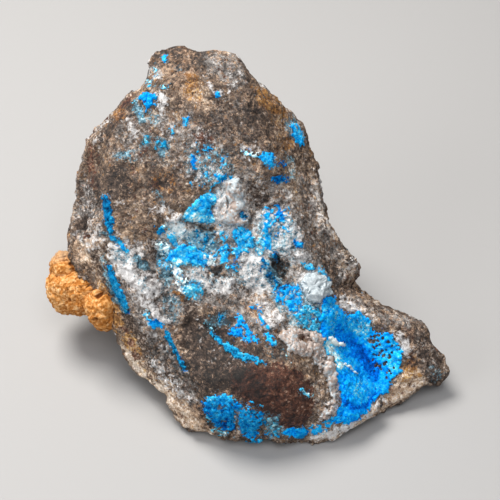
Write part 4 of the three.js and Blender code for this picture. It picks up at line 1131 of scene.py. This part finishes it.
rockLook = {
    "crystal": 0.42,      # mm, the grains that carry the colour
    "fine": 0.2,
    "clouds": (2.6, 0.9),
    "fineShare": 0.45,
    "cloudShare": 1.4,
    "shadeRange": (1.2, 2.58),
    "gritSize": 0.25,
    "gritDepth": 0.16,
    # painted shade in the hollows: how strong it is, and its colour
    "hollowShadeStrength": 0.7,
    "hollowShadeColour": "#100a07",
    "roughness": 0.8,
    "brown": [(0.0, "#1b1512"), (0.2, "#352a23"), (0.45, "#57473b"), (0.7, "#7b6857"), (0.88, "#a08a75"),
              (1.0, "#cdbda9")],
    # from the lowest layer to the top one: name, size of its patches in mm, spread, edge, colours
    "layers": [
        ("grey", 1.3, 2.0, 0.12, [(0.0, "#2a2624"), (0.25, "#55504c"), (0.55, "#807b77"), (0.8, "#aaa6a2"),
                                  (1.0, "#d2cfcc")]),
        ("tan", 1.5, 2.4, 0.15, [(0.0, "#5b4636"), (0.3, "#8f745e"), (0.65, "#bb9f85"), (0.9, "#d6c1a9"),
                                 (1.0, "#eaddce")]),
        ("ochre", 1.0, 2.6, 0.15, [(0.0, "#4f2f15"), (0.4, "#875a2d"), (0.75, "#b58649"),
                                   (1.0, "#dcb984")]),
        ("rust", 0.9, 2.0, 0.12, [(0.0, "#150a07"), (0.3, "#331a12"), (0.6, "#553122"), (0.85, "#7a5340"),
                                  (1.0, "#a98a76")]),
        ("dark", 0.9, 2.2, 0.15, [(0.0, "#0a0705"), (0.3, "#251b15"), (0.6, "#493a31"), (0.82, "#7d6b5d"),
                                  (1.0, "#bcab9c")]),
        ("white", 0.9, 2.4, 0.2, [(0.0, "#7c7673"), (0.25, "#a8a4a2"), (0.5, "#c8c6c4"), (0.75, "#dcdad9"),
                                  (1.0, "#f3f3f2")]),
        ("haze", 0.8, 2.6, 0.18, [(0.0, "#16272f"), (0.25, "#33535f"), (0.5, "#5b8394"), (0.75, "#88aebb"),
                                  (0.9, "#b4ccd2"), (1.0, "#dce8ea")]),
        ("stain", 0.5, 2.6, 0.08, [(0.0, "#073a68"), (0.3, "#0869ab"), (0.6, "#1e9ace"), (0.85, "#63bbd8"),
                                   (1.0, "#c2e2e8")]),
    ],
}


def stoneMaterial():
    # broken quartz rock stained by iron: dull, gritty, a mosaic of pale and dark grains
    look = rockLook
    material, tree, coords = newMaterial("ironStainedQuartzRock")
    crystal = crystalCells(tree, coords, look["crystal"])
    fine = crystalCells(tree, coords, look["fine"])
    shade = addNode(
        tree, "Mix", {0: look["fineShare"]}, {2: crystal["Red"], 3: fine["Red"]}
    ).outputs[0]
    for size in look["clouds"]:
        cloud = addNode(
            tree, "TexNoise", {"Scale": perMetre(size), "Detail": 4.0, "Roughness": 0.6},
            {"Vector": coords},
        ).outputs["Fac"]
        shade = addNode(
            tree, "Math", {1: look["cloudShare"]}, {0: cloud, 2: shade},
            operation="MULTIPLY_ADD",
        ).outputs[0]
    darkest, palest = look["shadeRange"]
    spread = addNode(
        tree, "MapRange", {"From Min": darkest, "From Max": palest}, {"Value": shade}
    ).outputs["Result"]
    # painted light and shade: the "shade" attribute, partly the rock's own tone, lightens or darkens the
    # colour
    paintedLightAndTone = addNode(tree, "Attribute", attribute_name="shade").outputs["Fac"]
    spread = addNode(tree, "Math", None, {0: spread, 1: paintedLightAndTone}, use_clamp=True).outputs[0]
    colour = addNode(tree, "ValToRGB", None, {0: spread}, stops=look["brown"]).outputs["Color"]
    for number, (name, size, reach, edge, stops) in enumerate(look["layers"]):
        layer = addNode(tree, "ValToRGB", None, {0: spread}, stops=stops).outputs["Color"]
        cells = crystal["Green"] if number % 2 else fine["Blue"]
        share = raggedShare(tree, coords, cells, name, size, reach, edge)
        colour = addNode(
            tree, "Mix", None, {0: share, 6: colour, 7: layer}, data_type="RGBA"
        ).outputs[2]
    # painted shade: the colour goes dark in the hollows
    hollow = addNode(tree, "Attribute", attribute_name="hollow").outputs["Fac"]
    dim = addNode(
        tree, "Math", {1: look["hollowShadeStrength"]}, {0: hollow}, operation="MULTIPLY"
    ).outputs[0]
    colour = addNode(
        tree, "Mix", {7: linear(look["hollowShadeColour"])}, {0: dim, 6: colour},
        data_type="RGBA",
    ).outputs[2]
    grit = addNode(
        tree, "TexNoise", {"Scale": perMetre(look["gritSize"]), "Detail": 3.0},
        {"Vector": coords},
    ).outputs["Fac"]
    finishMaterial(tree, colour, look["roughness"], grit, look["gritDepth"])
    return material


blueLook = {
    "roughness": 0.85,
    "specular": 0.05,
    "mottle": 0.5,       # mm
    "mottleShare": 1.1,
    "crystal": 0.3,
    "crystalShare": 0.3,
    "centre": 0.7,       # taken off, so that a tone of 0.5 is the middle of the ramp
    "fibreSize": 0.22,   # real fibres are finer, and too thin to show
    "fibreDepth": 0.08,
    "azure": [(0.0, "#0050ae"), (0.16, "#0074e6"), (0.36, "#009cfc"), (0.56, "#10baff"), (0.74, "#3cccf8"),
              (0.88, "#a2e4f0"), (1.0, "#ecfafa")],
    "teal": [(0.0, "#0b3048"), (0.16, "#0b5580"), (0.36, "#0c80b4"), (0.56, "#2aa8d4"), (0.74, "#62c2dc"),
             (0.88, "#acdfe8"), (1.0, "#eefafa")],
}


def cyanotrichiteMaterial():
    # copper mineral in mats of silky needles: strong sky blue; the tone carries painted shade, deep blue,
    # and painted light, pale at the needle tips
    look = blueLook
    material, tree, coords = newMaterial("silkyCyanotrichite")
    tone = addNode(tree, "Attribute", attribute_name="tone").outputs["Fac"]
    mottle = addNode(
        tree, "TexNoise", {"Scale": perMetre(look["mottle"]), "Detail": 3.0, "Roughness": 0.7},
        {"Vector": coords},
    ).outputs["Fac"]
    cells = crystalCells(tree, coords, look["crystal"])["Red"]
    shifted = addNode(
        tree, "Math", {1: look["mottleShare"]}, {0: mottle, 2: tone},
        operation="MULTIPLY_ADD",
    ).outputs[0]
    shifted = addNode(
        tree, "Math", {1: look["crystalShare"]}, {0: cells, 2: shifted},
        operation="MULTIPLY_ADD",
    ).outputs[0]
    centred = addNode(
        tree, "Math", {1: look["centre"]}, {0: shifted}, operation="SUBTRACT",
        use_clamp=True,
    ).outputs[0]
    azure = addNode(tree, "ValToRGB", None, {0: centred}, stops=look["azure"]).outputs["Color"]
    teal = addNode(tree, "ValToRGB", None, {0: centred}, stops=look["teal"]).outputs["Color"]
    greener = addNode(tree, "Attribute", attribute_name="teal").outputs["Fac"]
    colour = addNode(
        tree, "Mix", None, {0: greener, 6: azure, 7: teal}, data_type="RGBA"
    ).outputs[2]
    fibres = addNode(
        tree, "TexNoise", {"Scale": perMetre(look["fibreSize"]), "Detail": 2.0},
        {"Vector": coords},
    ).outputs["Fac"]
    finishMaterial(
        tree, colour, look["roughness"], fibres, look["fibreDepth"],
        Specular_IOR_Level=look["specular"],
    )
    return material


quartzLook = {
    "roughness": 0.5,
    "crystal": 0.35,     # mm
    "cloud": 1.6,
    "cloudShare": 0.55,
    "stain": (1.2, 1.6, 0.15),   # size of its patches in mm, spread, edge
    "gritSize": 0.3,
    "gritDepth": 0.12,
    "gypsum": [(0.0, "#c4d4d2"), (0.4, "#e6f2ef"), (1.0, "#fbfffd")],
    "white": [(0.0, "#757c7f"), (0.3, "#9da8ad"), (0.6, "#bcc6ca"), (1.0, "#dde4e7")],
    "tan": [(0.0, "#62524a"), (0.3, "#8f7c72"), (0.6, "#b5a499"), (1.0, "#dcd2ca")],
}


def quartzMaterial(name, ramp):
    # drusy quartz: tiny clear crystals that read as white sugar, iron-stained to tan in places
    # silky gypsum: the same sparkle, clean and nearly white
    look = quartzLook
    material, tree, coords = newMaterial(name)
    crystal = crystalCells(tree, coords, look["crystal"])
    cloud = addNode(
        tree, "TexNoise", {"Scale": perMetre(look["cloud"]), "Detail": 3.0},
        {"Vector": coords},
    ).outputs["Fac"]
    shade = addNode(
        tree, "Mix", {0: look["cloudShare"]}, {2: crystal["Red"], 3: cloud}
    ).outputs[0]
    white = addNode(tree, "ValToRGB", None, {0: shade}, stops=look[ramp]).outputs["Color"]
    tan = addNode(tree, "ValToRGB", None, {0: shade}, stops=look["tan"]).outputs["Color"]
    share = raggedShare(tree, coords, crystal["Green"], "tone", *look["stain"])
    colour = addNode(
        tree, "Mix", None, {0: share, 6: white, 7: tan}, data_type="RGBA"
    ).outputs[2]
    grit = addNode(
        tree, "TexNoise", {"Scale": perMetre(look["gritSize"]), "Detail": 2.0},
        {"Vector": coords},
    ).outputs["Fac"]
    finishMaterial(tree, colour, look["roughness"], grit, look["gritDepth"])
    return material


limoniteLook = {
    "roughness": 0.95,
    "specular": 0.2,
    "cloud": 1.6,        # mm
    "crumb": 0.4,
    "crumbShare": 0.35,
    "gritSize": 0.25,
    "gritDepth": 0.2,
    "ochre": [(0.15, "#6f3f18"), (0.32, "#a36427"), (0.48, "#c07e3d"), (0.62, "#d9a164"), (0.8, "#ecc898")],
    "paleTopColour": "#a8947c",
    "pores": "#6a3814",
}


def limoniteMaterial():
    # earthy limonite: matt ochre crumbs, browner in its pores
    look = limoniteLook
    material, tree, coords = newMaterial("earthyLimonite")
    pore = addNode(tree, "Attribute", attribute_name="pore").outputs["Fac"]
    cloud = addNode(
        tree, "TexNoise",
        {"Scale": perMetre(look["cloud"]), "Detail": 4.0, "Roughness": 0.65},
        {"Vector": coords},
    ).outputs["Fac"]
    crumb = crystalCells(tree, coords, look["crumb"])["Red"]
    shade = addNode(
        tree, "Mix", {0: look["crumbShare"]}, {2: cloud, 3: crumb}
    ).outputs[0]
    colour = addNode(
        tree, "ValToRGB", None, {0: shade}, stops=look["ochre"]
    ).outputs["Color"]
    pale = addNode(tree, "Attribute", attribute_name="pale").outputs["Fac"]
    for share, hexColour in ((pale, look["paleTopColour"]), (pore, look["pores"])):
        colour = addNode(
            tree, "Mix", {7: linear(hexColour)}, {0: share, 6: colour}, data_type="RGBA"
        ).outputs[2]
    grit = addNode(
        tree, "TexNoise", {"Scale": perMetre(look["gritSize"]), "Detail": 3.0},
        {"Vector": coords},
    ).outputs["Fac"]
    finishMaterial(
        tree, colour, look["roughness"], grit, look["gritDepth"],
        Specular_IOR_Level=look["specular"],
    )
    return material


# what all crusts share; sizes in mm, and reach and widths in view units
crustEdge = {
    "reach": 4,            # of the rock's surface kept round a mark
    "seen": 0.02,
    "sizes": (0.8, 0.35),  # of the noise that makes the edge ragged
    "fine": 0.6,
    "share": 0.97,         # of a mark that is covered, unless it says
    "holes": (0.5, 0.6),   # middle and spread of the noise that thins a crust out
    "holeWidth": 9,
    "lack": 1.1,
    "pitSize": 0.82,
    "pitWidth": 12,
    "pitBend": 0.4,
    "pitChange": (0.95, 0.45, 1.5),   # pits are wider and narrower in places of this last size
    "rimRise": 0.2,
    "lumpWidth": 3,
    "leastRise": 0.06,
    "teal": 0.5,           # unless a mark says
}

# outside all marks
crustStart = {"tone": 0.5, "thick": 0.0, "lumps": 1.0, "teal": 0.0}

blueCrust = {
    "sink": 0.45,        # mm that a crust reaches into the rock
    "softPasses": 0,
    "rimWidth": 4,       # view units over which it thins out
    "lumpSize": 0.65,    # mm
    "lumpHeight": 0.28,
    "fineSize": 0.3,
    "fineHeight": 0.12,
    "holeSize": 0.7,
    "ragged": 4.2,       # view units
    "grainThick": 0.2,   # mm, of the small grains
}

quartzCrust = {
    "sink": 0.7,
    "softPasses": 4,
    "rimWidth": 6,
    "lumpSize": 1.2,
    "lumpHeight": 0.6,
    "fineSize": 0.5,
    "fineHeight": 0.4,
    "holeSize": 3.0,
    "ragged": 3.0,
}

# the knob and the blade are whole crystals, so they're smoother
smoothCrust = dict(quartzCrust, softPasses=30, lumpHeight=0.4, fineHeight=0.16)

flakeCrust = dict(
    quartzCrust, thick=1.0, sink=0.3, softPasses=1, rimWidth=1.5, lumpSize=0.6, lumpHeight=0.2,
    fineSize=0.3, fineHeight=0.1, ragged=2.0,
)

# paler and deeper places in the mats: their own tone, and in the pocket painted light and painted shade
matToneAndPaintedLightMarks = dict(
    # painted shade: the pocket's deepest valley is deeper blue
    pocketDeep=stripe([(337, 324), (348, 340), (357, 352), (366, 364), (373, 376)], 12, soft=6,
        shift=-0.32),
    # painted light: pocketTop and pocketPaleTop make the pocket's upper wall, turned away from the lamps,
    # paler
    pocketTop=area([(322, 304), (334, 306), (350, 326), (348, 340), (336, 336), (324, 324)], soft=5,
        shift=0.2),
    pocketPaleTop=area([(346, 317), (360, 315), (372, 324), (370, 340), (358, 342), (348, 330)], soft=6,
        shift=0.24),
    pocketPaleLow=area([(348, 382), (366, 378), (378, 388), (368, 400), (350, 398)], soft=7, shift=0.12),
    pocketLeftPale=stripe([(326, 344), (334, 356), (339, 366)], 8, soft=5, shift=0.5),
    pocketMiddlePale=stripe([(356, 344), (366, 356), (378, 366)], 4, soft=4, shift=-0.2),
    pocketDark=stripe([(344, 400), (350, 408), (362, 408), (374, 396)], 4, soft=4, shift=-0.42),
    wedgeDark=stripe([(186, 217), (198, 209), (213, 201)], 2, soft=2, shift=-0.25),
    footDeep=area([(214, 402), (232, 402), (236, 414), (226, 420), (216, 412)], soft=6, shift=0.02),
    wedgeEdge=stripe([(200, 198), (208, 202), (210, 210)], 5, soft=3, shift=-0.15),
    wedgePale=stripe([(186, 214), (198, 217), (212, 220)], 5, soft=4, shift=0.26),
    centrePale=stripe([(172, 262), (186, 264), (202, 268)], 5, soft=4, shift=0.4),
    veinSide=stripe([(107, 272), (112, 288), (122, 304)], 3, soft=3, shift=-0.15),
    footSpot=stripe([(221, 404), (223, 411)], 3, soft=1.5, shift=-0.5),
    footSpotLow=stripe([(227, 418), (224, 425)], 3, soft=1.5, shift=-0.5),
    footEdge=stripe([(206, 404), (212, 416), (224, 428)], 5, soft=3, shift=-0.2),
    footGap=stripe([(236, 404), (238, 416), (234, 430)], 4, soft=2, shift=-0.12),
    footPale=stripe([(210, 398), (226, 395), (236, 399)], 4, soft=3, shift=0.2),
    pocketRight=area([(374, 334), (396, 336), (404, 352), (400, 376), (384, 372)], soft=5, shift=0.12),
    rimHollow=stripe([(299, 338), (308, 341)], 5, soft=2.5, shift=0.6),
    bladeStreak=stripe([(230, 194), (234, 204)], 3, soft=2, shift=0.5),
    bladeLow=area([(222, 206), (240, 202), (246, 222), (228, 226)], soft=4, shift=0.1),
)


# a mat's tone also drifts: how much, size in mm, place in the noise
toneDrift = [(0.14, 2.2, 13), (0.16, 0.8, 29)]


def toneAt(points, spots, base):
    tone = base
    for most, size, shift in toneDrift:
        tone = tone + most * waves(points, size, shift)
    # the marks add tone, and painted light and painted shade in the pocket
    for mark in matToneAndPaintedLightMarks.values():
        tone = tone + mark["shift"] * softShare(spots, mark)
    return tone


def lumps(points, size, shift, most, share, depth):
    # round lumps that die away at the crust's edge
    height = share * (0.5 - grains(points, size, shift))
    return most * height * blendStep(depth, 0, crustEdge["lumpWidth"])


def crustBase(rockParts, marks, shape):
    # the rock's own surface near the marks, halved once
    bm = bmesh.new()
    bm.from_mesh(rockParts["mesh"])
    near = np.zeros(len(bm.verts), bool)
    for mark in marks.values():
        near |= markDepth(rockParts["spots"], mark) > -crustEdge["reach"]
    near &= rockParts["seen"] > crustEdge["seen"]
    away = [f for f in bm.faces if not any(near[v.index] for v in f.verts)]
    bmesh.ops.delete(bm, geom=away, context="FACES")
    halve(bm, bm.edges[:])
    bmesh.ops.triangulate(bm, faces=bm.faces[:])
    soften(bm, bm.verts[:], shape["softPasses"])
    bm.normal_update()
    bm.verts.index_update()
    return bm


def crustLayout(points, marks, shape, thick):
    # each point's depth inside the marks, and what the deepest mark says there
    spots = onView(points)
    wander = wanders(points, crustEdge["sizes"], (21, 27, 35, 39), crustEdge["fine"])
    middle, spread = crustEdge["holes"]
    holes = middle + spread * rough(points, shape["holeSize"], 3, 33)
    depth = np.full(len(points), -9.0)
    usual = {"tone": 0.5, "thick": thick, "lumps": 1, "teal": crustEdge["teal"]}
    layout = {name: np.full(len(points), start) for name, start in crustStart.items()}
    for mark in marks.values():
        own = markDepth(spots + mark.get("ragged", 1) * shape["ragged"] * wander, mark)
        share = mark.get("share", crustEdge["share"])
        if share < 1:
            lack = (1 - share) * crustEdge["lack"]
            own = np.minimum(own, (holes - lack) * crustEdge["holeWidth"])
        for name, values in layout.items():
            layout[name] = np.where(own > depth, mark.get(name, usual[name]), values)
        depth = np.maximum(depth, own)
    pits = np.zeros(len(points))
    for mark in pitMarks.values():
        pits = np.maximum(pits, mark["radius"] * softShare(spots, mark))
    least, change, size = crustEdge["pitChange"]
    pits *= least + change * waves(points, size, 50)
    bent = points + crustEdge["pitBend"] * mm * wander[:, :1]
    wall = (grains(bent, crustEdge["pitSize"], 44) - pits) * crustEdge["pitWidth"]
    return np.minimum(depth, wall), layout, spots


def growCrust(rockParts, marks, shape, thick=None):
    # the rock's own surface inside the marks, grown outward and closed below
    bm = crustBase(rockParts, marks, shape)
    points = np.array([v.co for v in bm.verts])
    depth, layout, spots = crustLayout(points, marks, shape, thick)
    outside = [f for f in bm.faces if min(depth[v.index] for v in f.verts) < 0]
    rise, lumpy = layout["thick"], layout["lumps"]
    rim = crustEdge["rimRise"]
    height = rise * (rim + (1 - rim) * np.sqrt(blendStep(depth, 0, shape["rimWidth"])))
    height += lumps(points, shape["lumpSize"], 0, shape["lumpHeight"], lumpy, depth)
    height += lumps(points, shape["fineSize"], 5, shape["fineHeight"], np.sqrt(lumpy), depth)
    tone = toneAt(points, spots, layout["tone"])
    toneLayer = bm.verts.layers.float.new("tone")
    tealLayer = bm.verts.layers.float.new("teal")
    foot = bm.verts.layers.float_vector.new("foot")
    bed = []
    for v, lift, value, green, inside in zip(bm.verts, height, tone, layout["teal"], depth):
        v[toneLayer] = value
        v[tealLayer] = green
        v[foot] = v.co - v.normal * shape["sink"] * mm
        v.co += v.normal * max(lift, crustEdge["leastRise"]) * mm
        if inside > 0:
            bed.append((v.co.copy(), v.normal.copy(), value, green, inside))
    bmesh.ops.delete(bm, geom=outside, context="FACES")
    loose = [v for v in bm.verts if not v.link_faces]
    bmesh.ops.delete(bm, geom=loose, context="VERTS")
    below = bmesh.ops.extrude_face_region(bm, geom=bm.faces[:])["geom"]
    for v in [part for part in below if isinstance(part, bmesh.types.BMVert)]:
        v.co = v[foot]
    bm.verts.layers.float_vector.remove(foot)
    bmesh.ops.recalc_face_normals(bm, faces=bm.faces[:])
    return bm, bed


needleShape = {
    "sides": 3,
    "length": (0.28, 0.75),    # mm
    "radius": (0.024, 0.046),
    "lean": 0.9,               # how far a whole tuft leans
    "stray": 0.4,              # how far one needle strays from its tuft
    "tuftSize": 0.9,           # mm
    # how much paler each needle is painted toward its tip, as light on the tips
    "paintedTipLight": 0.18,
    "share": 0.85,             # of the crust's points that carry a needle
    "edgeLength": 0.4,         # of a needle at the crust's edge
    "edgeWidth": 6,            # view units
    "root": 0.08,              # mm below the crust
    "jitter": 0.07,
    "toneSpread": 0.1,
}


def oneNeedle():
    bm = bmesh.new()
    bmesh.ops.create_cone(
        bm, cap_ends=True, cap_tris=True, segments=needleShape["sides"], radius1=1, radius2=0, depth=1,
        matrix=Matrix.Translation((0, 0, 0.5)),
    )
    bmesh.ops.remove_doubles(bm, verts=bm.verts, dist=1e-4)
    bmesh.ops.recalc_face_normals(bm, faces=bm.faces[:])
    bm.verts.index_update()
    corners = np.array([v.co for v in bm.verts])
    faces = np.array([[v.index for v in f.verts] for f in bm.faces])
    bm.free()
    return corners, faces


def needleMesh(name, bed, seed):
    # many copies of one needle, joined in one mesh
    dice = random.Random(seed)
    corners, faces = oneNeedle()
    allCorners, allFaces, allTones, allTeals = [], [], [], []
    jitter, toneSpread = needleShape["jitter"], needleShape["toneSpread"]
    for place, normal, tone, teal, inside in bed:
        if dice.random() > needleShape["share"]:
            continue
        tuft = noise.noise_vector(place / (needleShape["tuftSize"] * mm))
        stray = Vector([dice.uniform(-1, 1) for _ in range(3)])
        way = normal + tuft * needleShape["lean"] + stray * needleShape["stray"]
        way.normalize()
        grown = min(1, needleShape["edgeLength"] + inside / needleShape["edgeWidth"])
        length = dice.uniform(*needleShape["length"]) * grown * mm
        radius = dice.uniform(*needleShape["radius"]) * mm
        turn = way.to_track_quat("Z", "Y").to_matrix()
        spun = np.array(turn) @ (corners * [radius, radius, length]).T
        aside = Vector([dice.uniform(-jitter, jitter) for _ in range(3)]) * mm
        root = place - normal * needleShape["root"] * mm + aside
        allFaces.append(faces + len(allCorners) * len(corners))
        allCorners.append(spun.T + np.array(root))
        own = tone + dice.uniform(-toneSpread, toneSpread)
        # painted light and shade: each needle's tone rises from a deeper root to a paler tip
        allTones.append(own + needleShape["paintedTipLight"] * corners[:, 2])
        allTeals.append(np.full(len(corners), teal))
    mesh = bpy.data.meshes.new(name)
    mesh.from_pydata(np.concatenate(allCorners).tolist(), [], np.concatenate(allFaces).tolist())
    setField(mesh, "tone", np.concatenate(allTones))
    setField(mesh, "teal", np.concatenate(allTeals))
    return mesh


limoniteShape = {
    "softPasses": (14, 12, 5),   # after each time that every edge is halved
    "grow": 1.5,                 # mm
    "bend": 0.25,
    "bendSize": 0.8,
    "lumpSize": 2.8,
    "lumpHeight": 1.0,
    "crumbSize": 0.6,
    "crumbHeight": 0.5,
    "poreSize": 0.9,
    "poreGap": 1.6,              # times that, from one pore to the next
    "poreEdge": (0.1, 0.38),
    "poreDepth": 0.6,
    "bareSpots": (2.0, -0.15, 0.25),
    "gritSize": 0.5,
    "grit": 0.16,
    "topSink": 1.5,              # of the lobe that meets the rock
    "topLine": (-268, -252),     # view units, upward
    "paleLine": (-270, -250),
    "paleWaves": (1.2, 9),
    "paleShare": 0.6,
    "clearHeight": 0.1,          # mm above the floor
}


def limoniteMesh():
    bm = nodeMesh("limonite_lump")
    for passes in limoniteShape["softPasses"]:
        halve(bm, bm.edges[:])
        soften(bm, bm.verts[:], passes)
    mesh = meshOf(bm, "limonite")
    points = places(mesh)
    shape = limoniteShape
    bends = np.column_stack([waves(points, shape["bendSize"], k) for k in (1, 2, 3)])
    bent = points + shape["bend"] * mm * bends
    spotSize, gone, full = shape["bareSpots"]
    pore = 1 - blendStep(grains(bent, shape["poreSize"] * shape["poreGap"], 8), *shape["poreEdge"])
    pore *= blendStep(waves(points, spotSize, 12), gone, full)
    height = shape["lumpHeight"] * (0.45 - grains(bent, shape["lumpSize"])) + shape["grow"]
    height += shape["crumbHeight"] * (0.45 - grains(bent, shape["crumbSize"], 3))
    height += shape["grit"] * rough(points, shape["gritSize"]) - shape["poreDepth"] * pore
    height -= shape["topSink"] * blendStep(-onView(points)[:, 1], *shape["topLine"])
    moved = points + directions(mesh) * (height * mm)[:, None]
    moved[:, 2] = np.maximum(moved[:, 2], shape["clearHeight"] * mm)
    setPlaces(mesh, moved)
    setField(mesh, "pore", pore)
    # the top lobe is paler toward its top, where it meets the rock
    paleSize, paleWander = shape["paleWaves"]
    upward = -onView(moved)[:, 1] + paleWander * waves(points, paleSize, 5)
    setField(mesh, "pale", shape["paleShare"] * blendStep(upward, *shape["paleLine"]))
    return mesh


cyanotrichite = cyanotrichiteMaterial()
quartz = quartzMaterial("drusyQuartz", "white")
print("materials of the crusts made")

rockBody = rockMesh()
print("rock mesh", len(rockBody.polygons), "faces")
shapeRock(rockBody)
addObject("rock", rockBody, stoneMaterial(), ["matrix"])
rockParts = {"mesh": rockBody, "spots": onView(places(rockBody)), "seen": field(rockBody, "seen")}
beds = {}
for node, mark in crustMarks.items():
    grown, beds[node] = growCrust(rockParts, {node: mark}, blueCrust)
    addObject(node + "_mat", meshOf(grown, node + "_mat"), cyanotrichite, [node])
grown, grainBed = growCrust(rockParts, grainMarks, blueCrust, blueCrust["grainThick"])
addObject("cyanotrichite_grains", meshOf(grown, "cyanotrichite_grains"), cyanotrichite)
for node, marks in quartzMarks.items():
    shape = quartzCrust if node == "quartz_rim" else smoothCrust
    druse = meshOf(growCrust(rockParts, marks, shape)[0], node + "_druse")
    addObject(node + "_druse", druse, quartz, [node])
flakes = meshOf(growCrust(rockParts, flakeMarks, flakeCrust, flakeCrust["thick"])[0], "gypsum_flakes")
addObject("gypsum_flakes", flakes, quartzMaterial("silkyGypsum", "gypsum"))
addObject("limonite", limoniteMesh(), limoniteMaterial(), ["limonite_lump"])
pocketBed = beds.pop("cyanotrichite_pocket")
addObject("pocket_needles", needleMesh("pocket_needles", pocketBed, 3), cyanotrichite)
otherBed = [spot for bed in beds.values() for spot in bed]
addObject("crust_needles", needleMesh("crust_needles", otherBed, 5), cyanotrichite)
addObject("grain_needles", needleMesh("grain_needles", grainBed, 7), cyanotrichite)


# the plain floor and soft lights; places, sizes and the floor's half width in metres, power in watts
studio = {
    "floor": "#a2a1a0",
    "floorRoughness": 0.7,
    "floorReach": 3,
    "sky": "#f4f6fa",
    "skyStrength": 0.16,
    "aim": (0, 0, 0.02),
    "lights": {
        "softbox": ((-0.15, 0.15, 0.44), 0.24, 3.25, "#fffcf8"),
        "front": ((0.03, -0.22, 0.5), 0.34, 1.4, "#fafbff"),
        "left": ((-0.38, -0.2, 0.24), 0.3, 0.75, "#ffffff"),
    },
}


def addFloor():
    bm = bmesh.new()
    bmesh.ops.create_grid(bm, x_segments=1, y_segments=1, size=studio["floorReach"])
    mesh = meshOf(bm, "floor")
    material, tree, _ = newMaterial("palePaper")
    shader = addNode(tree, "BsdfPrincipled", {"Base Color": linear(studio["floor"]),
                                              "Roughness": studio["floorRoughness"]})
    addNode(tree, "OutputMaterial", None, {"Surface": shader.outputs["BSDF"]})
    mesh.materials.append(material)
    floor = bpy.data.objects.new("floor", mesh)
    bpy.context.scene.collection.objects.link(floor)


def addSky():
    world = bpy.data.worlds.new("studio")
    bpy.context.scene.world = world
    world.use_nodes = True
    background = world.node_tree.nodes["Background"].inputs
    background["Color"].default_value = linear(studio["sky"])
    background["Strength"].default_value = studio["skyStrength"]


def addLight(name, place, size, power, colour):
    data = bpy.data.lights.new(name, "AREA")
    data.shape = "DISK"
    data.size = size
    data.energy = power
    data.color = linear(colour)[:3]
    lamp = bpy.data.objects.new(name, data)
    lamp.location = place
    away = Vector(studio["aim"]) - Vector(place)
    lamp.rotation_euler = away.to_track_quat("-Z", "Y").to_euler()
    bpy.context.scene.collection.objects.link(lamp)


def addCamera():
    data = bpy.data.cameras.new("camera")
    data.lens = view["lens"]
    data.sensor_width = view["sensor"]
    data.clip_start = view["nearest"]
    camera = bpy.data.objects.new("camera", data)
    camera.location = eye
    camera.rotation_euler = (math.pi / 2 - tilt, 0, 0)
    bpy.context.scene.collection.objects.link(camera)
    bpy.context.scene.camera = camera


addFloor()
addSky()
for name, settings in studio["lights"].items():
    addLight(name, *settings)
addCamera()
bpy.context.scene.view_settings.view_transform = "Standard"
print("floor, lights and camera placed")
